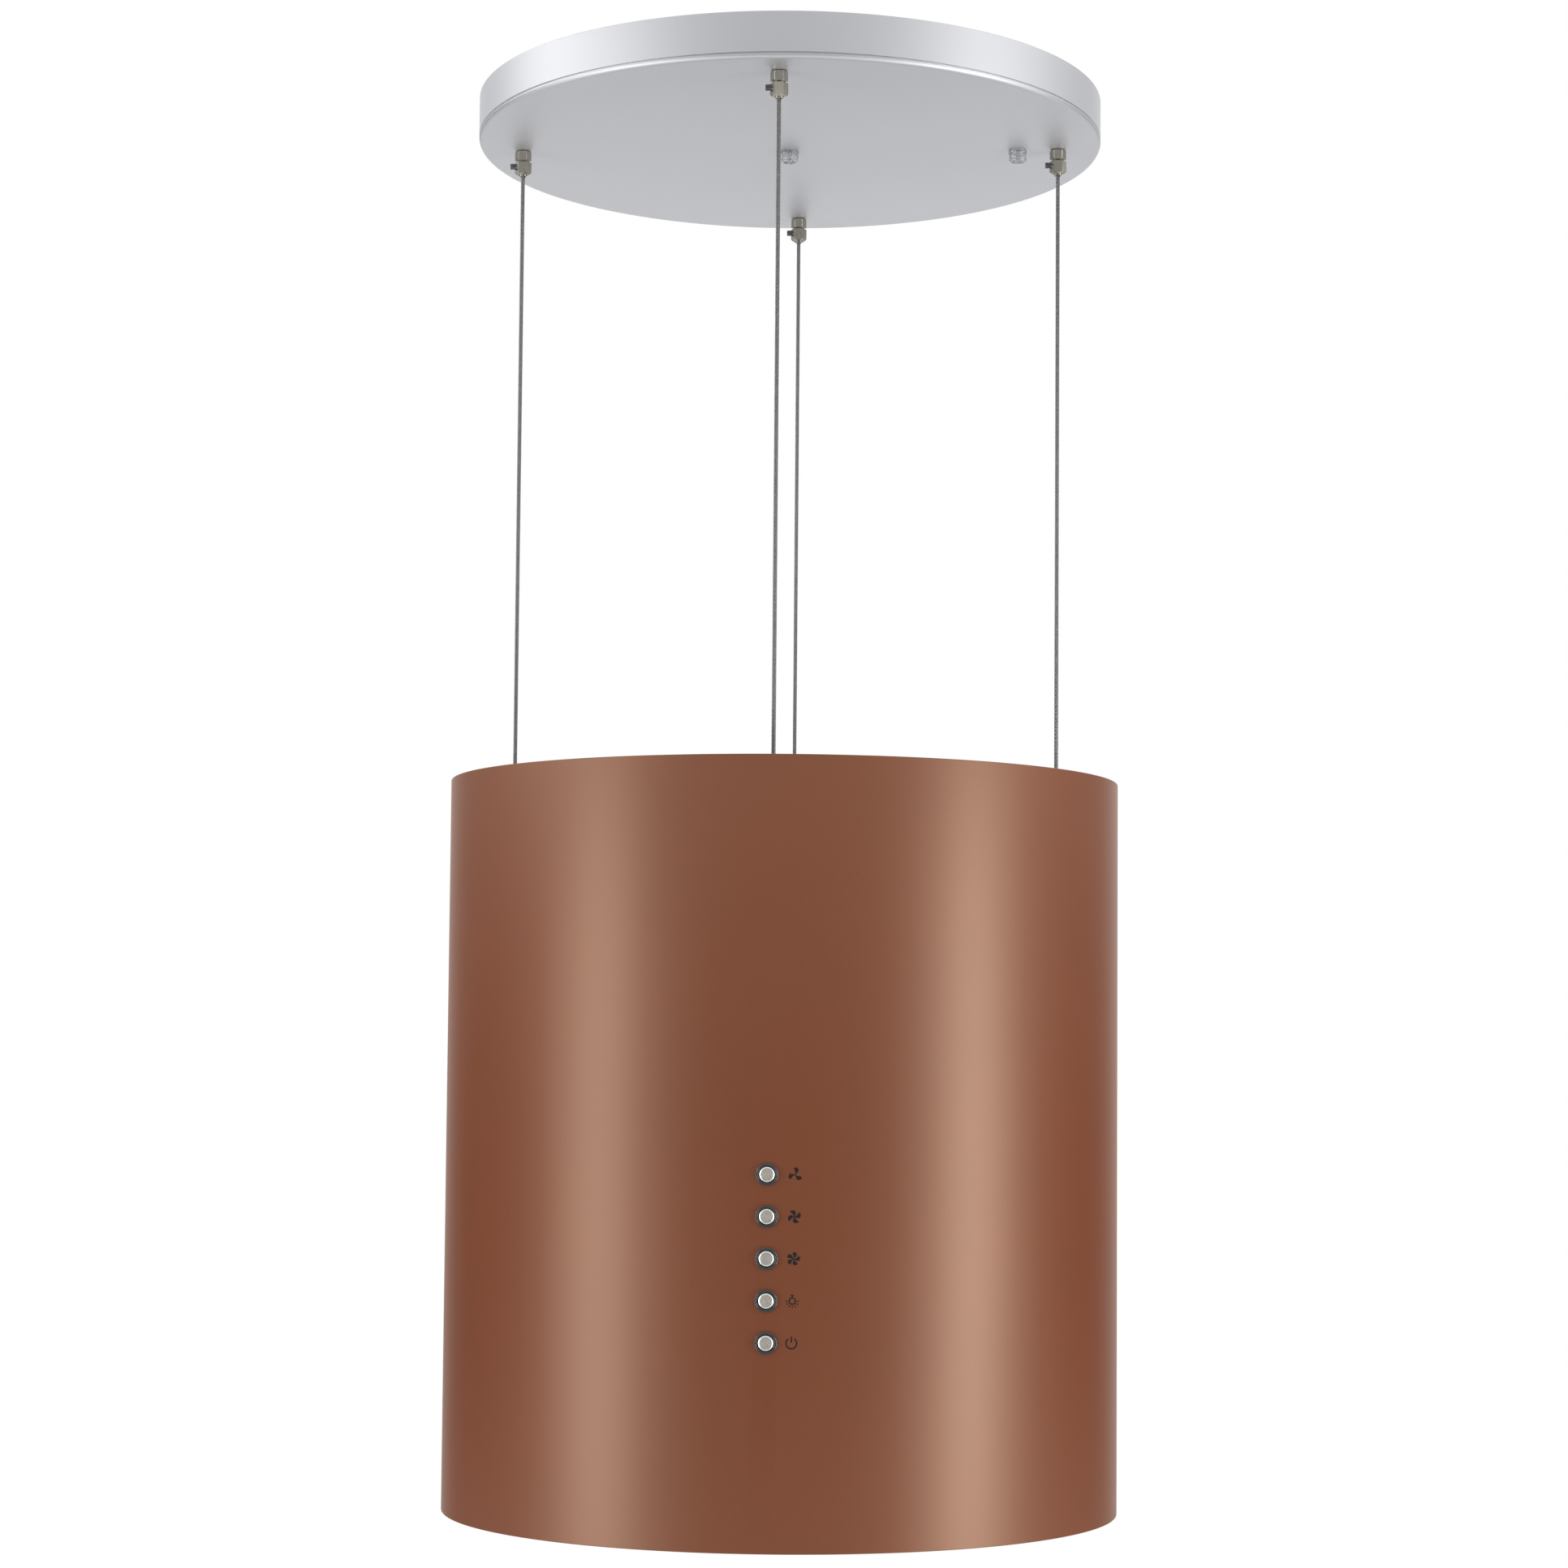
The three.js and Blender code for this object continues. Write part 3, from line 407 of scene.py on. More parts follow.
def softened(mesh, width, segments=2, angle=30):
    """Bevels the edges of a mesh that turn by more than an angle in degrees."""
    soft = bmesh.new()
    soft.from_mesh(mesh)
    limit = math.radians(angle)
    edges = [e for e in soft.edges if len(e.link_faces) == 2 and e.calc_face_angle() > limit]
    bmesh.ops.bevel(soft, geom=edges, offset=width, segments=segments, affect="EDGES", clamp_overlap=True)
    soft.to_mesh(mesh)
    soft.free()
    return mesh


def prism(outline, low, high):
    count = len(outline)
    points = [(x, y, low) for x, y in outline] + [(x, y, high) for x, y in outline]
    faces = [list(range(count))[::-1], list(range(count, 2 * count))]
    faces += [[i, (i + 1) % count, count + (i + 1) % count, count + i] for i in range(count)]
    return mesh_from(points, faces)


def block(low, high):
    corners = [(low[0], low[1]), (high[0], low[1]), (high[0], high[1]), (low[0], high[1])]
    return prism(corners, low[2], high[2])


def hexagon(across_flats):
    """Corners of a hexagon with flats towards -Y and +Y."""
    return circle(across_flats / math.sqrt(3), segments=6)


def joined(*meshes):
    """One mesh that holds several."""
    whole = bmesh.new()
    for mesh in meshes:
        whole.from_mesh(mesh)
    made = bpy.data.meshes.new("joined")
    whole.to_mesh(made)
    whole.free()
    for mesh in meshes:
        bpy.data.meshes.remove(mesh)
    return made


def carved(mesh, *tools, operation="DIFFERENCE"):
    """The mesh with the tools cut out of it, or kept in common."""
    target = bpy.data.objects.new("target", mesh)
    bpy.context.scene.collection.objects.link(target)
    holders = []
    for tool in tools:
        holder = bpy.data.objects.new("tool", tool)
        bpy.context.scene.collection.objects.link(holder)
        modifier = target.modifiers.new("cut", "BOOLEAN")
        modifier.operation = operation
        modifier.solver = "EXACT"
        modifier.object = holder
        holders.append(holder)
    graph = bpy.context.evaluated_depsgraph_get()
    made = bpy.data.meshes.new_from_object(target.evaluated_get(graph))
    for holder in [target, *holders]:
        data = holder.data
        bpy.data.objects.remove(holder)
        bpy.data.meshes.remove(data)
    return made


def rod(radius, low, high, segments=SMALL, x=0.0, y=0.0, edge=0.0):
    """A round bar between two levels, with its edges broken by edge."""
    if edge:
        profile = [(0, low), (radius - edge, low), (radius, low + edge)]
        profile += [(radius, high - edge), (radius - edge, high), (0, high)]
    else:
        profile = [(0, low), (radius, low), (radius, high), (0, high)]
    return at(turned(profile, segments), x, y, 0)


def second_material(mesh, first):
    """Gives the polygons from index first on the piece's second material."""
    for polygon in mesh.polygons[first:]:
        polygon.material_index = 1


def threaded(root, crest, level, end, pitch):
    """Profile points of a thread from level up to end: crests at radius crest, roots at root."""
    made = []
    while level + pitch < end:
        made += [(crest, level), (root, level + pitch / 2)]
        level += pitch
    return made


def fluted(mesh, flutes, depth, chosen):
    """Flutes a mesh about Z: the chosen vertices move in by up to depth, a share of their radius."""
    for vertex in mesh.vertices:
        if chosen(vertex.co):
            turn = math.atan2(vertex.co.y, vertex.co.x)
            vertex.co.xy *= 1 - depth * (0.5 - 0.5 * math.cos(flutes * turn))
    return mesh


# ---------------------------------------------------------------- canopy


def canopy_cover():
    """A dish with a rounded bottom edge, a fine groove above it and six holes."""
    radius, bottom, top = CANOPY_RADIUS, CANOPY_LOW.z, CANOPY_HIGH.z
    edge, groove = 2 * MM, 0.9 * MM
    profile = [(0, bottom)]
    profile += arc(radius - edge, bottom + edge, edge, -90, 0, 8)
    profile += [(radius, bottom + 2.2 * MM), (radius - groove, bottom + 2.4 * MM)]
    profile += [(radius - groove, bottom + 3.1 * MM), (radius, bottom + 3.3 * MM)]
    profile += [(radius, top - 0.3 * MM), (radius - 0.3 * MM, top)]
    profile += [(radius - SHEET + 0.2 * MM, top), (radius - SHEET, top - 0.2 * MM)]
    profile += arc(radius - edge, bottom + edge, edge - SHEET, 0, -90, 4)
    profile += [(0, bottom + SHEET)]
    cover = turned(profile, LARGE)
    spots = [middle(f"gripper_body_{n}") for n in NUMBERS]
    spots += [middle("cord_grip_centre"), middle("cord_grip_side")]
    through = 10 * MM
    holes = [rod(SHANK_HOLE, bottom - through, bottom + through, SMALL, p.x, p.y) for p in spots]
    cover = carved(cover, *holes)
    add("canopy_dish", cover, SILVER, "canopy", ["canopy_cover"])


def gripper_nut(number):
    """The hexagonal cover nut between the canopy and the gripper's body."""
    node_name = f"gripper_nut_{number}"
    low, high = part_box(node_name)
    x, y = middle(node_name).xy
    nut = softened(prism(hexagon(high.y - low.y), low.z, high.z), 0.35 * MM, 3)
    nut = carved(nut, rod(SHANK_HOLE, low.z - 10 * MM, high.z + 10 * MM))
    add(f"grip_nut_{number}", at(nut, x, y, 0), NICKEL, "canopy", [node_name])


def gripper_body(number):
    """Hexagonal body with a coned foot, a bored mouth and the threaded barrel above it."""
    node_name = f"gripper_body_{number}"
    low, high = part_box(node_name)
    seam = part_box(f"gripper_nut_{number}")[0].z - 0.8 * MM
    x, y = middle(node_name).xy
    across = high.y - low.y
    corner = across / math.sqrt(3)
    foot, cut = low.z + 0.6 * MM, 1.3 * MM
    cone = [(0, foot), (corner - cut, foot), (corner, foot + cut), (corner, seam), (0, seam)]
    body = carved(prism(hexagon(across), foot, seam), turned(cone, MEDIUM), operation="INTERSECT")
    body = softened(body, 0.28 * MM, 2, 25)
    wide = WIRE_BORE + 0.9 * MM
    funnel = [(0, low.z - MM), (wide, low.z - MM), (WIRE_BORE, foot + 0.8 * MM)]
    funnel += [(WIRE_BORE, seam + MM), (0, seam + MM)]
    socket = along_x(rod(1.9 * MM, -corner * 2, -corner + cut), 0, middle(f"lock_screw_{number}").z)
    body = carved(body, turned(funnel, SMALL), socket)
    collar = [(WIRE_BORE, low.z + 0.1 * MM), (WIRE_BORE + 0.6 * MM, low.z), (wide, low.z + 0.3 * MM)]
    collar += [(wide, foot + 0.4 * MM), (WIRE_BORE, foot + 0.4 * MM)]
    crest = 3 * MM
    barrel = [(WIRE_BORE, seam - 0.2 * MM), (crest, seam - 0.2 * MM)]
    barrel += threaded(2.7 * MM, crest, seam + 0.2 * MM, high.z, 1.0 * MM)
    barrel += [(crest, high.z), (WIRE_BORE, high.z)]
    whole = joined(body, turned(collar, SMALL), turned(barrel, SMALL))
    add(f"grip_{number}", at(whole, x, y, 0), NICKEL, "canopy", [node_name])


def lock_screw(number):
    """A small round release screw with a slot across its end."""
    node_name = f"lock_screw_{number}"
    low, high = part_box(node_name)
    place = middle(node_name)
    radius, length = (high.z - low.z) / 2, high.x - low.x
    edge = 0.35 * MM
    profile = [(0, 0), (radius, 0), *arc(radius - edge, length - edge, edge, 0, 90, 4), (0, length)]
    half, depth = 0.3 * MM, 0.5 * MM  # the slot's half width and its depth
    slot = block((-radius * 2, -half, length - depth), (radius * 2, half, length + MM))
    screw = carved(turned(profile, SMALL), slot)
    turn = Matrix.Rotation(-math.pi / 2, 4, "Y")
    screw = moved(screw, Matrix.Translation((high.x, place.y, place.z)) @ turn)
    add(f"release_screw_{number}", screw, GREY_STEEL, "canopy", [node_name])


def cord_grip(which):
    """A clear grip: nut, flange, waist, fluted body, and a dished end with its hole and a dark screw."""
    node_name = f"cord_grip_{which}"
    low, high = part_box(node_name)
    x, y = middle(node_name).xy
    radius = (high.x - low.x) / 2
    under = CANOPY_LOW.z - 0.3 * MM
    flange = under - 2 * MM
    hole, shank, nut = 1.05 * MM, 3 * MM, 3 * MM
    profile = [(hole, low.z + 1.4 * MM), (radius - 1.6 * MM, low.z + 0.2 * MM), (radius - 1.2 * MM, low.z)]
    profile += arc(radius - 0.75 * MM, low.z + 0.45 * MM, 0.45 * MM, -90, 0, 3)
    profile += [(radius - 0.3 * MM, flange - 0.5 * MM), (radius - 0.8 * MM, flange - 0.2 * MM)]
    profile += [(radius - 0.8 * MM, flange), (radius - 0.2 * MM, flange), (radius, flange + 0.2 * MM)]
    profile += [(radius, under - 0.3 * MM), (radius - 0.3 * MM, under), (shank, under)]
    profile += [(shank, high.z - nut), (radius - 0.5 * MM, high.z - nut)]
    profile += [(radius - 0.5 * MM, high.z), (hole, high.z)]
    flutes, segments = 16, 96
    grip = turned(profile, segments)
    grip = fluted(grip, flutes, 0.03, lambda p: radius - 1.3 * MM < p.xy.length < radius and p.z < under)
    screw = at(rod(0.45 * MM, 0, 0.5 * MM, 16), 0, -2.6 * MM, low.z + 0.35 * MM)
    split = len(grip.polygons)
    whole = at(joined(grip, screw), x, y, 0)
    looks = [CLEAR, GREY_STEEL]
    add(f"clear_grip_{which}", whole, looks, "canopy", [node_name])
    second_material(whole, split)


def rope(number):
    """Six strands laid right-handed into one rope, from the hood's anchor up into its gripper."""
    node_name = f"suspension_wire_{number}"
    low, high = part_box(node_name)
    x, y = middle(node_name).xy
    radius = (high.x - low.x) / 2
    strands, lay, step = 6, 13 * MM, 0.9 * MM  # lay: the height of one full turn of the strands
    strand = radius * 0.36
    offset = radius - strand
    section = []
    for s in range(strands):
        side = 360 * s / strands
        strand_x, strand_y = turned_outline([(offset, 0)], math.radians(side))[0]
        section += arc(strand_x, strand_y, strand, side - 99, side + 99, 6)
    count = len(section)
    rings = math.ceil((high.z - low.z) / step) + 1
    points = []
    for i in range(rings):
        level = low.z + (high.z - low.z) * i / (rings - 1)
        turned_section = turned_outline(section, 2 * math.pi * (level - low.z) / lay)
        points += [(x + px, y + py, level) for px, py in turned_section]
    faces = [list(range(count))[::-1], list(range((rings - 1) * count, rings * count))]
    for i in range(rings - 1):
        for k in range(count):
            n = (k + 1) % count
            faces.append([i * count + k, i * count + n, (i + 1) * count + n, (i + 1) * count + k])
    mesh = mesh_from(points, faces)
    made = add(f"rope_{number}", mesh, ROPE, "canopy", [node_name], sharp=50)
    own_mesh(made)


def ceiling_bracket():
    """A cross of sheet with slots for the ceiling's screws, a cable hole and four bosses."""
    low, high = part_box("ceiling_bracket")
    thick, arm, corner = 3 * MM, 36 * MM, 4 * MM
    reach, half = high.x, arm / 2
    tip = [(half, -half)]
    tip += arc(reach - corner, -half + corner, corner, -90, 0)
    tip += arc(reach - corner, half - corner, corner, 0, 90)
    outline = []
    for quarter in range(4):
        c, s = round(math.cos(quarter * math.pi / 2)), round(math.sin(quarter * math.pi / 2))
        outline += [(c * px - s * py, s * px + c * py) for px, py in tip]
    slot_at, slot_length, slot_width, slot_corner = 90 * MM, 18 * MM, 5.5 * MM, 2.7 * MM
    slots = []
    for side in (-1, 1):
        slots.append(rectangle(slot_length, slot_width, side * slot_at, 0, slot_corner))
        slots.append(rectangle(slot_width, slot_length, 0, side * slot_at, slot_corner))
    spots = [middle(f"gripper_body_{n}") for n in NUMBERS]
    holes = [circle(SHANK_HOLE, p.x, p.y, SMALL) for p in spots]
    cable = circle(10 * MM, 0, arm, SMALL)
    plate = flat_plate([outline, *slots, *holes, cable], high.z - thick, high.z, 0.3 * MM)
    boss, root = 6.5 * MM, high.z - thick + 0.1 * MM
    ring = [(SHANK_HOLE, low.z), (boss - 0.3 * MM, low.z), (boss, low.z + 0.3 * MM)]
    ring += [(boss, root), (SHANK_HOLE, root)]
    bosses = [at(turned(ring, SMALL), p.x, p.y, 0) for p in spots]
    add("bracket", joined(plate, *bosses), ZINC, "canopy", ["ceiling_bracket"])


def terminal_block():
    """A black base with five cells of two steel screws each."""
    low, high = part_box("terminal_block")
    centre = middle("terminal_block")
    base = softened(block((low.x, low.y, high.z - 5 * MM), (high.x, high.y, high.z)), 0.5 * MM)
    cells, screws = [], []
    count, end, deep = 5, 3 * MM, 6 * MM
    pitch = (high.x - low.x - 2 * end) / count
    for i in range(count):
        x = low.x + end + pitch * (i + 0.5)
        half = pitch * 0.44
        cell = block((x - half, centre.y - deep, low.z), (x + half, centre.y + deep, high.z - 4 * MM))
        cells.append(softened(cell, 0.4 * MM))
        for y in (centre.y - 3 * MM, centre.y + 3 * MM):
            screws.append(rod(1.8 * MM, low.z, low.z + 1.2 * MM, 20, x, y, 0.2 * MM))
    body = joined(base, *cells)
    split = len(body.polygons)
    whole = joined(body, *screws)
    add("terminals", whole, [BLACK, SHAFT], "canopy", ["terminal_block"])
    second_material(whole, split)


# ---------------------------------------------------------------- hood: shell and covers


def hood_shell():
    """The rolled shell with hemmed rims and the five button holes."""
    bottom, top, radius = SHELL_LOW.z, SHELL_HIGH.z, SHELL_RADIUS
    inner, lip, edge = radius - SHEET, 3 * MM, 0.5 * MM
    hem = inner - lip
    profile = [(hem, bottom + 0.2 * MM), (hem + 0.2 * MM, bottom)]
    profile += arc(radius - edge, bottom + edge, edge, -90, 0, 3)
    profile += arc(radius - edge, top - edge, edge, 0, 90, 3)
    profile += [(hem + 0.2 * MM, top), (hem, top - 0.2 * MM), (hem, top - SHEET)]
    profile += [(inner, top - SHEET), (inner, bottom + SHEET), (hem, bottom + SHEET)]
    shell = turned(profile, FINE)
    holes = [out_of_front(rod(5 * MM, -10 * MM, 10 * MM), level) for level in BUTTON_LEVELS]
    add("shell", carved(shell, *holes), COPPER, "hood", ["hood_shell"], sharp=25)


def top_cover():
    """Recessed cover with the air outlet's slots, and a skirt down along the shell."""
    low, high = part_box("top_cover")
    radius, inner = high.x, high.x - SHEET
    count, pitch, width, length = 11, 13 * MM, 6 * MM, 140 * MM
    places = [(i - (count - 1) / 2) * pitch for i in range(count)]
    slots = [rectangle(width, length, x, 0, width / 2 - 0.1 * MM) for x in places]
    anchors = [middle(f"wire_anchor_{n}") for n in NUMBERS]
    studs = [circle(2.8 * MM, p.x, p.y, SMALL) for p in anchors]
    gland = middle("cable_gland")
    hole = circle(8.3 * MM, gland.x, gland.y, SMALL)
    disc = circle(inner, segments=LARGE)
    plate = flat_plate([disc, *slots, *studs, hole], high.z - SHEET, high.z, 0.15 * MM)
    skirt = [(inner, low.z), (radius, low.z)] + arc(inner, high.z - SHEET, SHEET, 0, 90, 4)
    skirt += [(radius - 1.3 * SHEET, high.z), (radius - 1.3 * SHEET, high.z - SHEET)]
    skirt += [(inner, high.z - 1.2 * SHEET)]
    add("vented_cover", joined(plate, turned(skirt, LARGE)), ZINC, "hood", ["top_cover"])


def wire_anchor(number):
    """Hexagon, crimped ferrule, stud and nut."""
    node_name = f"wire_anchor_{number}"
    low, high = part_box(node_name)
    x, y = middle(node_name).xy
    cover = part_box("top_cover")[1].z
    hexagonal = softened(prism(hexagon(high.y - low.y), cover + 0.3 * MM, cover + 5.3 * MM), 0.4 * MM, 3)
    tube, edge = 3.2 * MM, 0.5 * MM
    ferrule = [(0, cover + 5 * MM), (tube, cover + 5 * MM)]
    for crimp in (cover + 7 * MM, cover + 9 * MM):
        ferrule += [(tube, crimp - edge), (tube - 0.3 * MM, crimp), (tube, crimp + edge)]
    ferrule += arc(tube - edge, high.z - edge, edge, 0, 90, 3)
    ferrule += [(WIRE_BORE, high.z), (WIRE_BORE, cover + 5.6 * MM), (0, cover + 5.6 * MM)]
    crest = 2.5 * MM
    stud = [(0, low.z), (2.2 * MM, low.z)]
    stud += threaded(2.25 * MM, crest, low.z + 0.4 * MM, cover + 0.3 * MM, 0.8 * MM)
    stud += [(crest, cover + 0.4 * MM), (0, cover + 0.4 * MM)]
    nut = softened(prism(hexagon(8 * MM), low.z + 1.5 * MM, low.z + 5.5 * MM), 0.4 * MM, 2)
    whole = joined(hexagonal, turned(ferrule, SMALL), turned(stud, SMALL), nut)
    add(f"anchor_{number}", at(whole, x, y, 0), NICKEL, "hood", [node_name])


def cable_gland():
    """Hexagonal base, fluted dome, and the shank and nut under the cover."""
    low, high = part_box("cable_gland")
    x, y = middle("cable_gland").xy
    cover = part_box("top_cover")[1].z
    across, radius, bore = high.y - low.y, 8.6 * MM, 4.5 * MM
    base = softened(prism(hexagon(across), cover + 0.3 * MM, cover + 4.3 * MM), 0.6 * MM, 3)
    dome = [(0, cover + 4 * MM), (radius, cover + 4 * MM), (radius, high.z - 2.4 * MM)]
    dome += arc(radius - 2.2 * MM, high.z - 2.2 * MM, 2.2 * MM, 0, 90, 6) + [(0, high.z)]
    body = fluted(turned(dome, MEDIUM), 16, 0.025, lambda p: abs(p.xy.length - radius) < 0.01 * MM)
    thread = rod(8 * MM, low.z, cover + 0.5 * MM, MEDIUM, edge=0.5 * MM)
    nut = softened(prism(hexagon(across), cover - 5.5 * MM, cover - 1.5 * MM), 0.6 * MM, 3)
    hole = rod(bore, low.z - 10 * MM, high.z + 10 * MM)
    whole = [carved(piece, hole.copy()) for piece in (base, body, thread, nut)]
    bpy.data.meshes.remove(hole)
    add("gland", at(joined(*whole), x, y, 0), BLACK, "hood", ["cable_gland"])


def hinge_ear(near, far, pin, level):
    """An upright ear between two places in X, rounded and drilled about the hinge pin."""
    radius = 6 * MM
    outline = [(pin.y - radius, level), (pin.y + radius, level), *arc(pin.y, pin.z, radius, 0, 180, 10)]
    upright = Matrix(((0, 0, 1, 0), (1, 0, 0, 0), (0, 1, 0, 0), (0, 0, 0, 1)))
    ear = moved(prism(outline, near, far), upright)
    return carved(ear, along_x(rod(2.3 * MM, near - MM, far + MM), pin.y, pin.z))


def bottom_panel():
    """Recessed panel with the filter's opening, two lamp holes, a turned-up rim and the hinge's ears."""
    low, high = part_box("bottom_panel")
    radius = high.x
    frame_low, frame_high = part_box("filter_frame")
    opening = frame_high.x - frame_low.x + 2.6 * MM
    lamps = [middle(f"lamp_ring_{side}") for side in SIDES]
    holes = [rectangle(opening, opening, corner=1.5 * MM)] + [circle(22 * MM, p.x, p.y) for p in lamps]
    disc = circle(radius - 1.2 * SHEET, segments=LARGE)
    plate = flat_plate([disc, *holes], low.z, low.z + SHEET, 0.2 * MM)
    rim = [(radius - 1.4 * SHEET, low.z)] + arc(radius - SHEET, low.z + SHEET, SHEET, -90, 0, 4)
    rim += [(radius, high.z), (radius - SHEET, high.z), (radius - SHEET, low.z + 1.3 * SHEET)]
    rim += [(radius - 1.4 * SHEET, low.z + SHEET)]
    pin, level = middle("hinge_pin"), low.z + SHEET / 2
    near = opening / 2 + 2.5 * MM
    far = near + 3 * MM
    ears = [hinge_ear(-far, -near, pin, level), hinge_ear(near, far, pin, level)]
    whole = joined(plate, turned(rim, LARGE), *ears)
    add("intake_panel", whole, COPPER, "hood", ["bottom_panel"])


# ---------------------------------------------------------------- buttons and pictograms


def button_bezel(number):
    """Black chrome bezel: a rounded rim, a groove and an inner lip."""
    node_name = f"button_bezel_{number}"
    low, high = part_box(node_name)
    level = middle(node_name).z
    outer = (high.x - low.x) / 2
    face = -low.y - SHELL_RADIUS
    back = -(high.y + SHELL_RADIUS)
    bore, barrel, lip = 4.15 * MM, 4.7 * MM, 4.55 * MM
    profile = [(bore, back), (barrel, back), (barrel, 0.05 * MM), (outer, 0.05 * MM)]
    profile += arc(outer - 0.5 * MM, face - 0.55 * MM, 0.45 * MM, 0, 80, 5)
    profile += [(lip + 0.4 * MM, face - 0.12 * MM), (lip + 0.3 * MM, face - 0.35 * MM)]
    profile += [(lip + 0.1 * MM, face - 0.35 * MM)]
    profile += arc(lip - 0.1 * MM, face - 0.2 * MM, 0.2 * MM, 0, 180, 6)
    profile += [(bore, face - 0.6 * MM)]
    ring = out_of_front(turned(profile, MEDIUM), level)
    add(f"bezel_{number}", ring, BLACK_CHROME, "hood", [node_name])


def button_cap(number):
    """Spun steel cap with a bright chamfer, a collar behind the bezel and a stem."""
    node_name = f"button_cap_{number}"
    low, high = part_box(node_name)
    level = middle(node_name).z
    front = -low.y - SHELL_RADIUS
    back = -(high.y + SHELL_RADIUS)
    radius, collar = 3.65 * MM, (high.x - low.x) / 2
    stem, stem_end, collar_end = 1.5 * MM, back + 3 * MM, back + 4.5 * MM
    face, face_level = 3.15 * MM, front - 0.08 * MM
    profile = [(0, back), (stem - 0.1 * MM, back), (stem, back + 0.1 * MM), (stem, stem_end)]
    profile += [(collar, stem_end), (collar, collar_end), (radius, collar_end)]
    profile += [(radius, front - 0.38 * MM), (face, face_level)]
    rings, groove, crown = 14, 0.015 * MM, 0.07 * MM
    for i in range(1, rings):
        profile.append((face * (1 - i / rings), face_level + crown * i / rings - groove * (i % 2)))
    profile += [(0, front - 0.01 * MM)]
    mesh = out_of_front(turned(profile, MEDIUM), level)
    add(f"cap_{number}", mesh, [SPUN, CHAMFER], f"button_{number}", [node_name], sharp=20)
    for polygon in mesh.polygons:
        across = [math.hypot(mesh.vertices[v].co.x, mesh.vertices[v].co.z - level) for v in polygon.vertices]
        if min(across) > face - 0.01 * MM and polygon.center.y < -SHELL_RADIUS:
            polygon.material_index = 1


def on_shell(mesh, x, level):
    """Lays a flat mesh, drawn in X and Y with its thickness in Z, onto the shell's front."""
    for vertex in mesh.vertices:
        angle = (vertex.co.x + x) / SHELL_RADIUS
        out = SHELL_RADIUS + vertex.co.z
        vertex.co = Vector((out * math.sin(angle), -out * math.cos(angle), vertex.co.y + level))
    return mesh


def printed(outlines):
    """A thin layer of ink with closed outlines, sunk a little into the shell."""
    return flat_plate(outlines, -0.03 * MM, 0.06 * MM)


# One blade of each fan, as (millimetres from the hub, degrees from the blade's direction) round it.
BLADE_OF_3 = ((0.3, 0), (1.4, 19), (2.6, 28), (3.4, 26), (3.6, 15))
BLADE_OF_3 += ((3.4, 0), (3.05, -16), (2.35, -26), (1.3, -32))
BLADE_OF_4 = ((0.3, 8), (1.8, 24), (3.4, 30), (3.35, 14), (3.15, -4))
BLADE_OF_4 += ((2.75, -20), (2.1, -34), (1.2, -40), (0.4, -30))
BLADE_OF_5 = ((0.3, 0), (1.4, 20), (2.5, 30), (3.1, 25), (3.3, 12))
BLADE_OF_5 += ((3.2, -4), (2.75, -18), (2.0, -26), (1.1, -28))


def fan_pictogram(count, blade, first):
    """Equal blades round a hub; first is the first blade's direction in degrees."""
    drawn = []
    for i in range(count):
        heading = first + 360 * i / count
        turns = [(reach * MM, math.radians(heading + turn)) for reach, turn in blade]
        drawn.append(printed([[(r * math.cos(turn), r * math.sin(turn)) for r, turn in turns]]))
    return drawn + [printed([circle(0.45 * MM, segments=16)])]


def bar(width, length, distance, angle):
    """A short stroke that starts at a distance from the centre, in the direction of angle."""
    outline = rectangle(length, width, distance + length / 2, 0, width * 0.3, 2)
    return printed([turned_outline(outline, angle)])


def lamp_pictogram():
    """A round lamp with a cap above it and rays round its lower half."""
    globe = printed([circle(1.85 * MM, segments=32), circle(1.25 * MM, segments=32)])
    stem = bar(0.5 * MM, 0.9 * MM, 1.7 * MM, math.pi / 2)
    cap = printed([rectangle(1.7 * MM, 0.5 * MM, 0, 2.75 * MM, 0.1 * MM, 2)])
    rays = [bar(0.5 * MM, 1.0 * MM, 2.3 * MM, math.radians(angle)) for angle in range(180, 361, 30)]
    return [globe, stem, cap, *rays]


def power_pictogram():
    """An open ring with a stroke in its gap."""
    radius, half = 2.6 * MM, 0.33 * MM
    start, end = 90 + 34, 450 - 34  # degrees round the ring, from one side of the gap to the other
    outline = arc(0, 0, radius + half, start, end, 40) + arc(0, 0, radius - half, end, start, 40)
    return [printed([outline]), bar(2 * half, 3.0 * MM, 0.3 * MM, math.pi / 2)]


def pictograms():
    """Function symbols beside the buttons, from the lowest: power, lamp and three fan speeds."""
    drawings = [power_pictogram(), lamp_pictogram()]
    drawings += [fan_pictogram(5, BLADE_OF_5, 70), fan_pictogram(4, BLADE_OF_4, 102)]
    drawings += [fan_pictogram(3, BLADE_OF_3, 74)]
    offsets = (12.4, 12.7, 13.1, 13.4, 13.7)  # millimetres to the right of the buttons, as in the photo
    for number, drawing, offset, level in zip(BUTTONS, drawings, offsets, BUTTON_LEVELS):
        mesh = on_shell(joined(*drawing), offset * MM, level)
        add(f"pictogram_{number}", mesh, INK, "hood")


# ---------------------------------------------------------------- filter and lamps


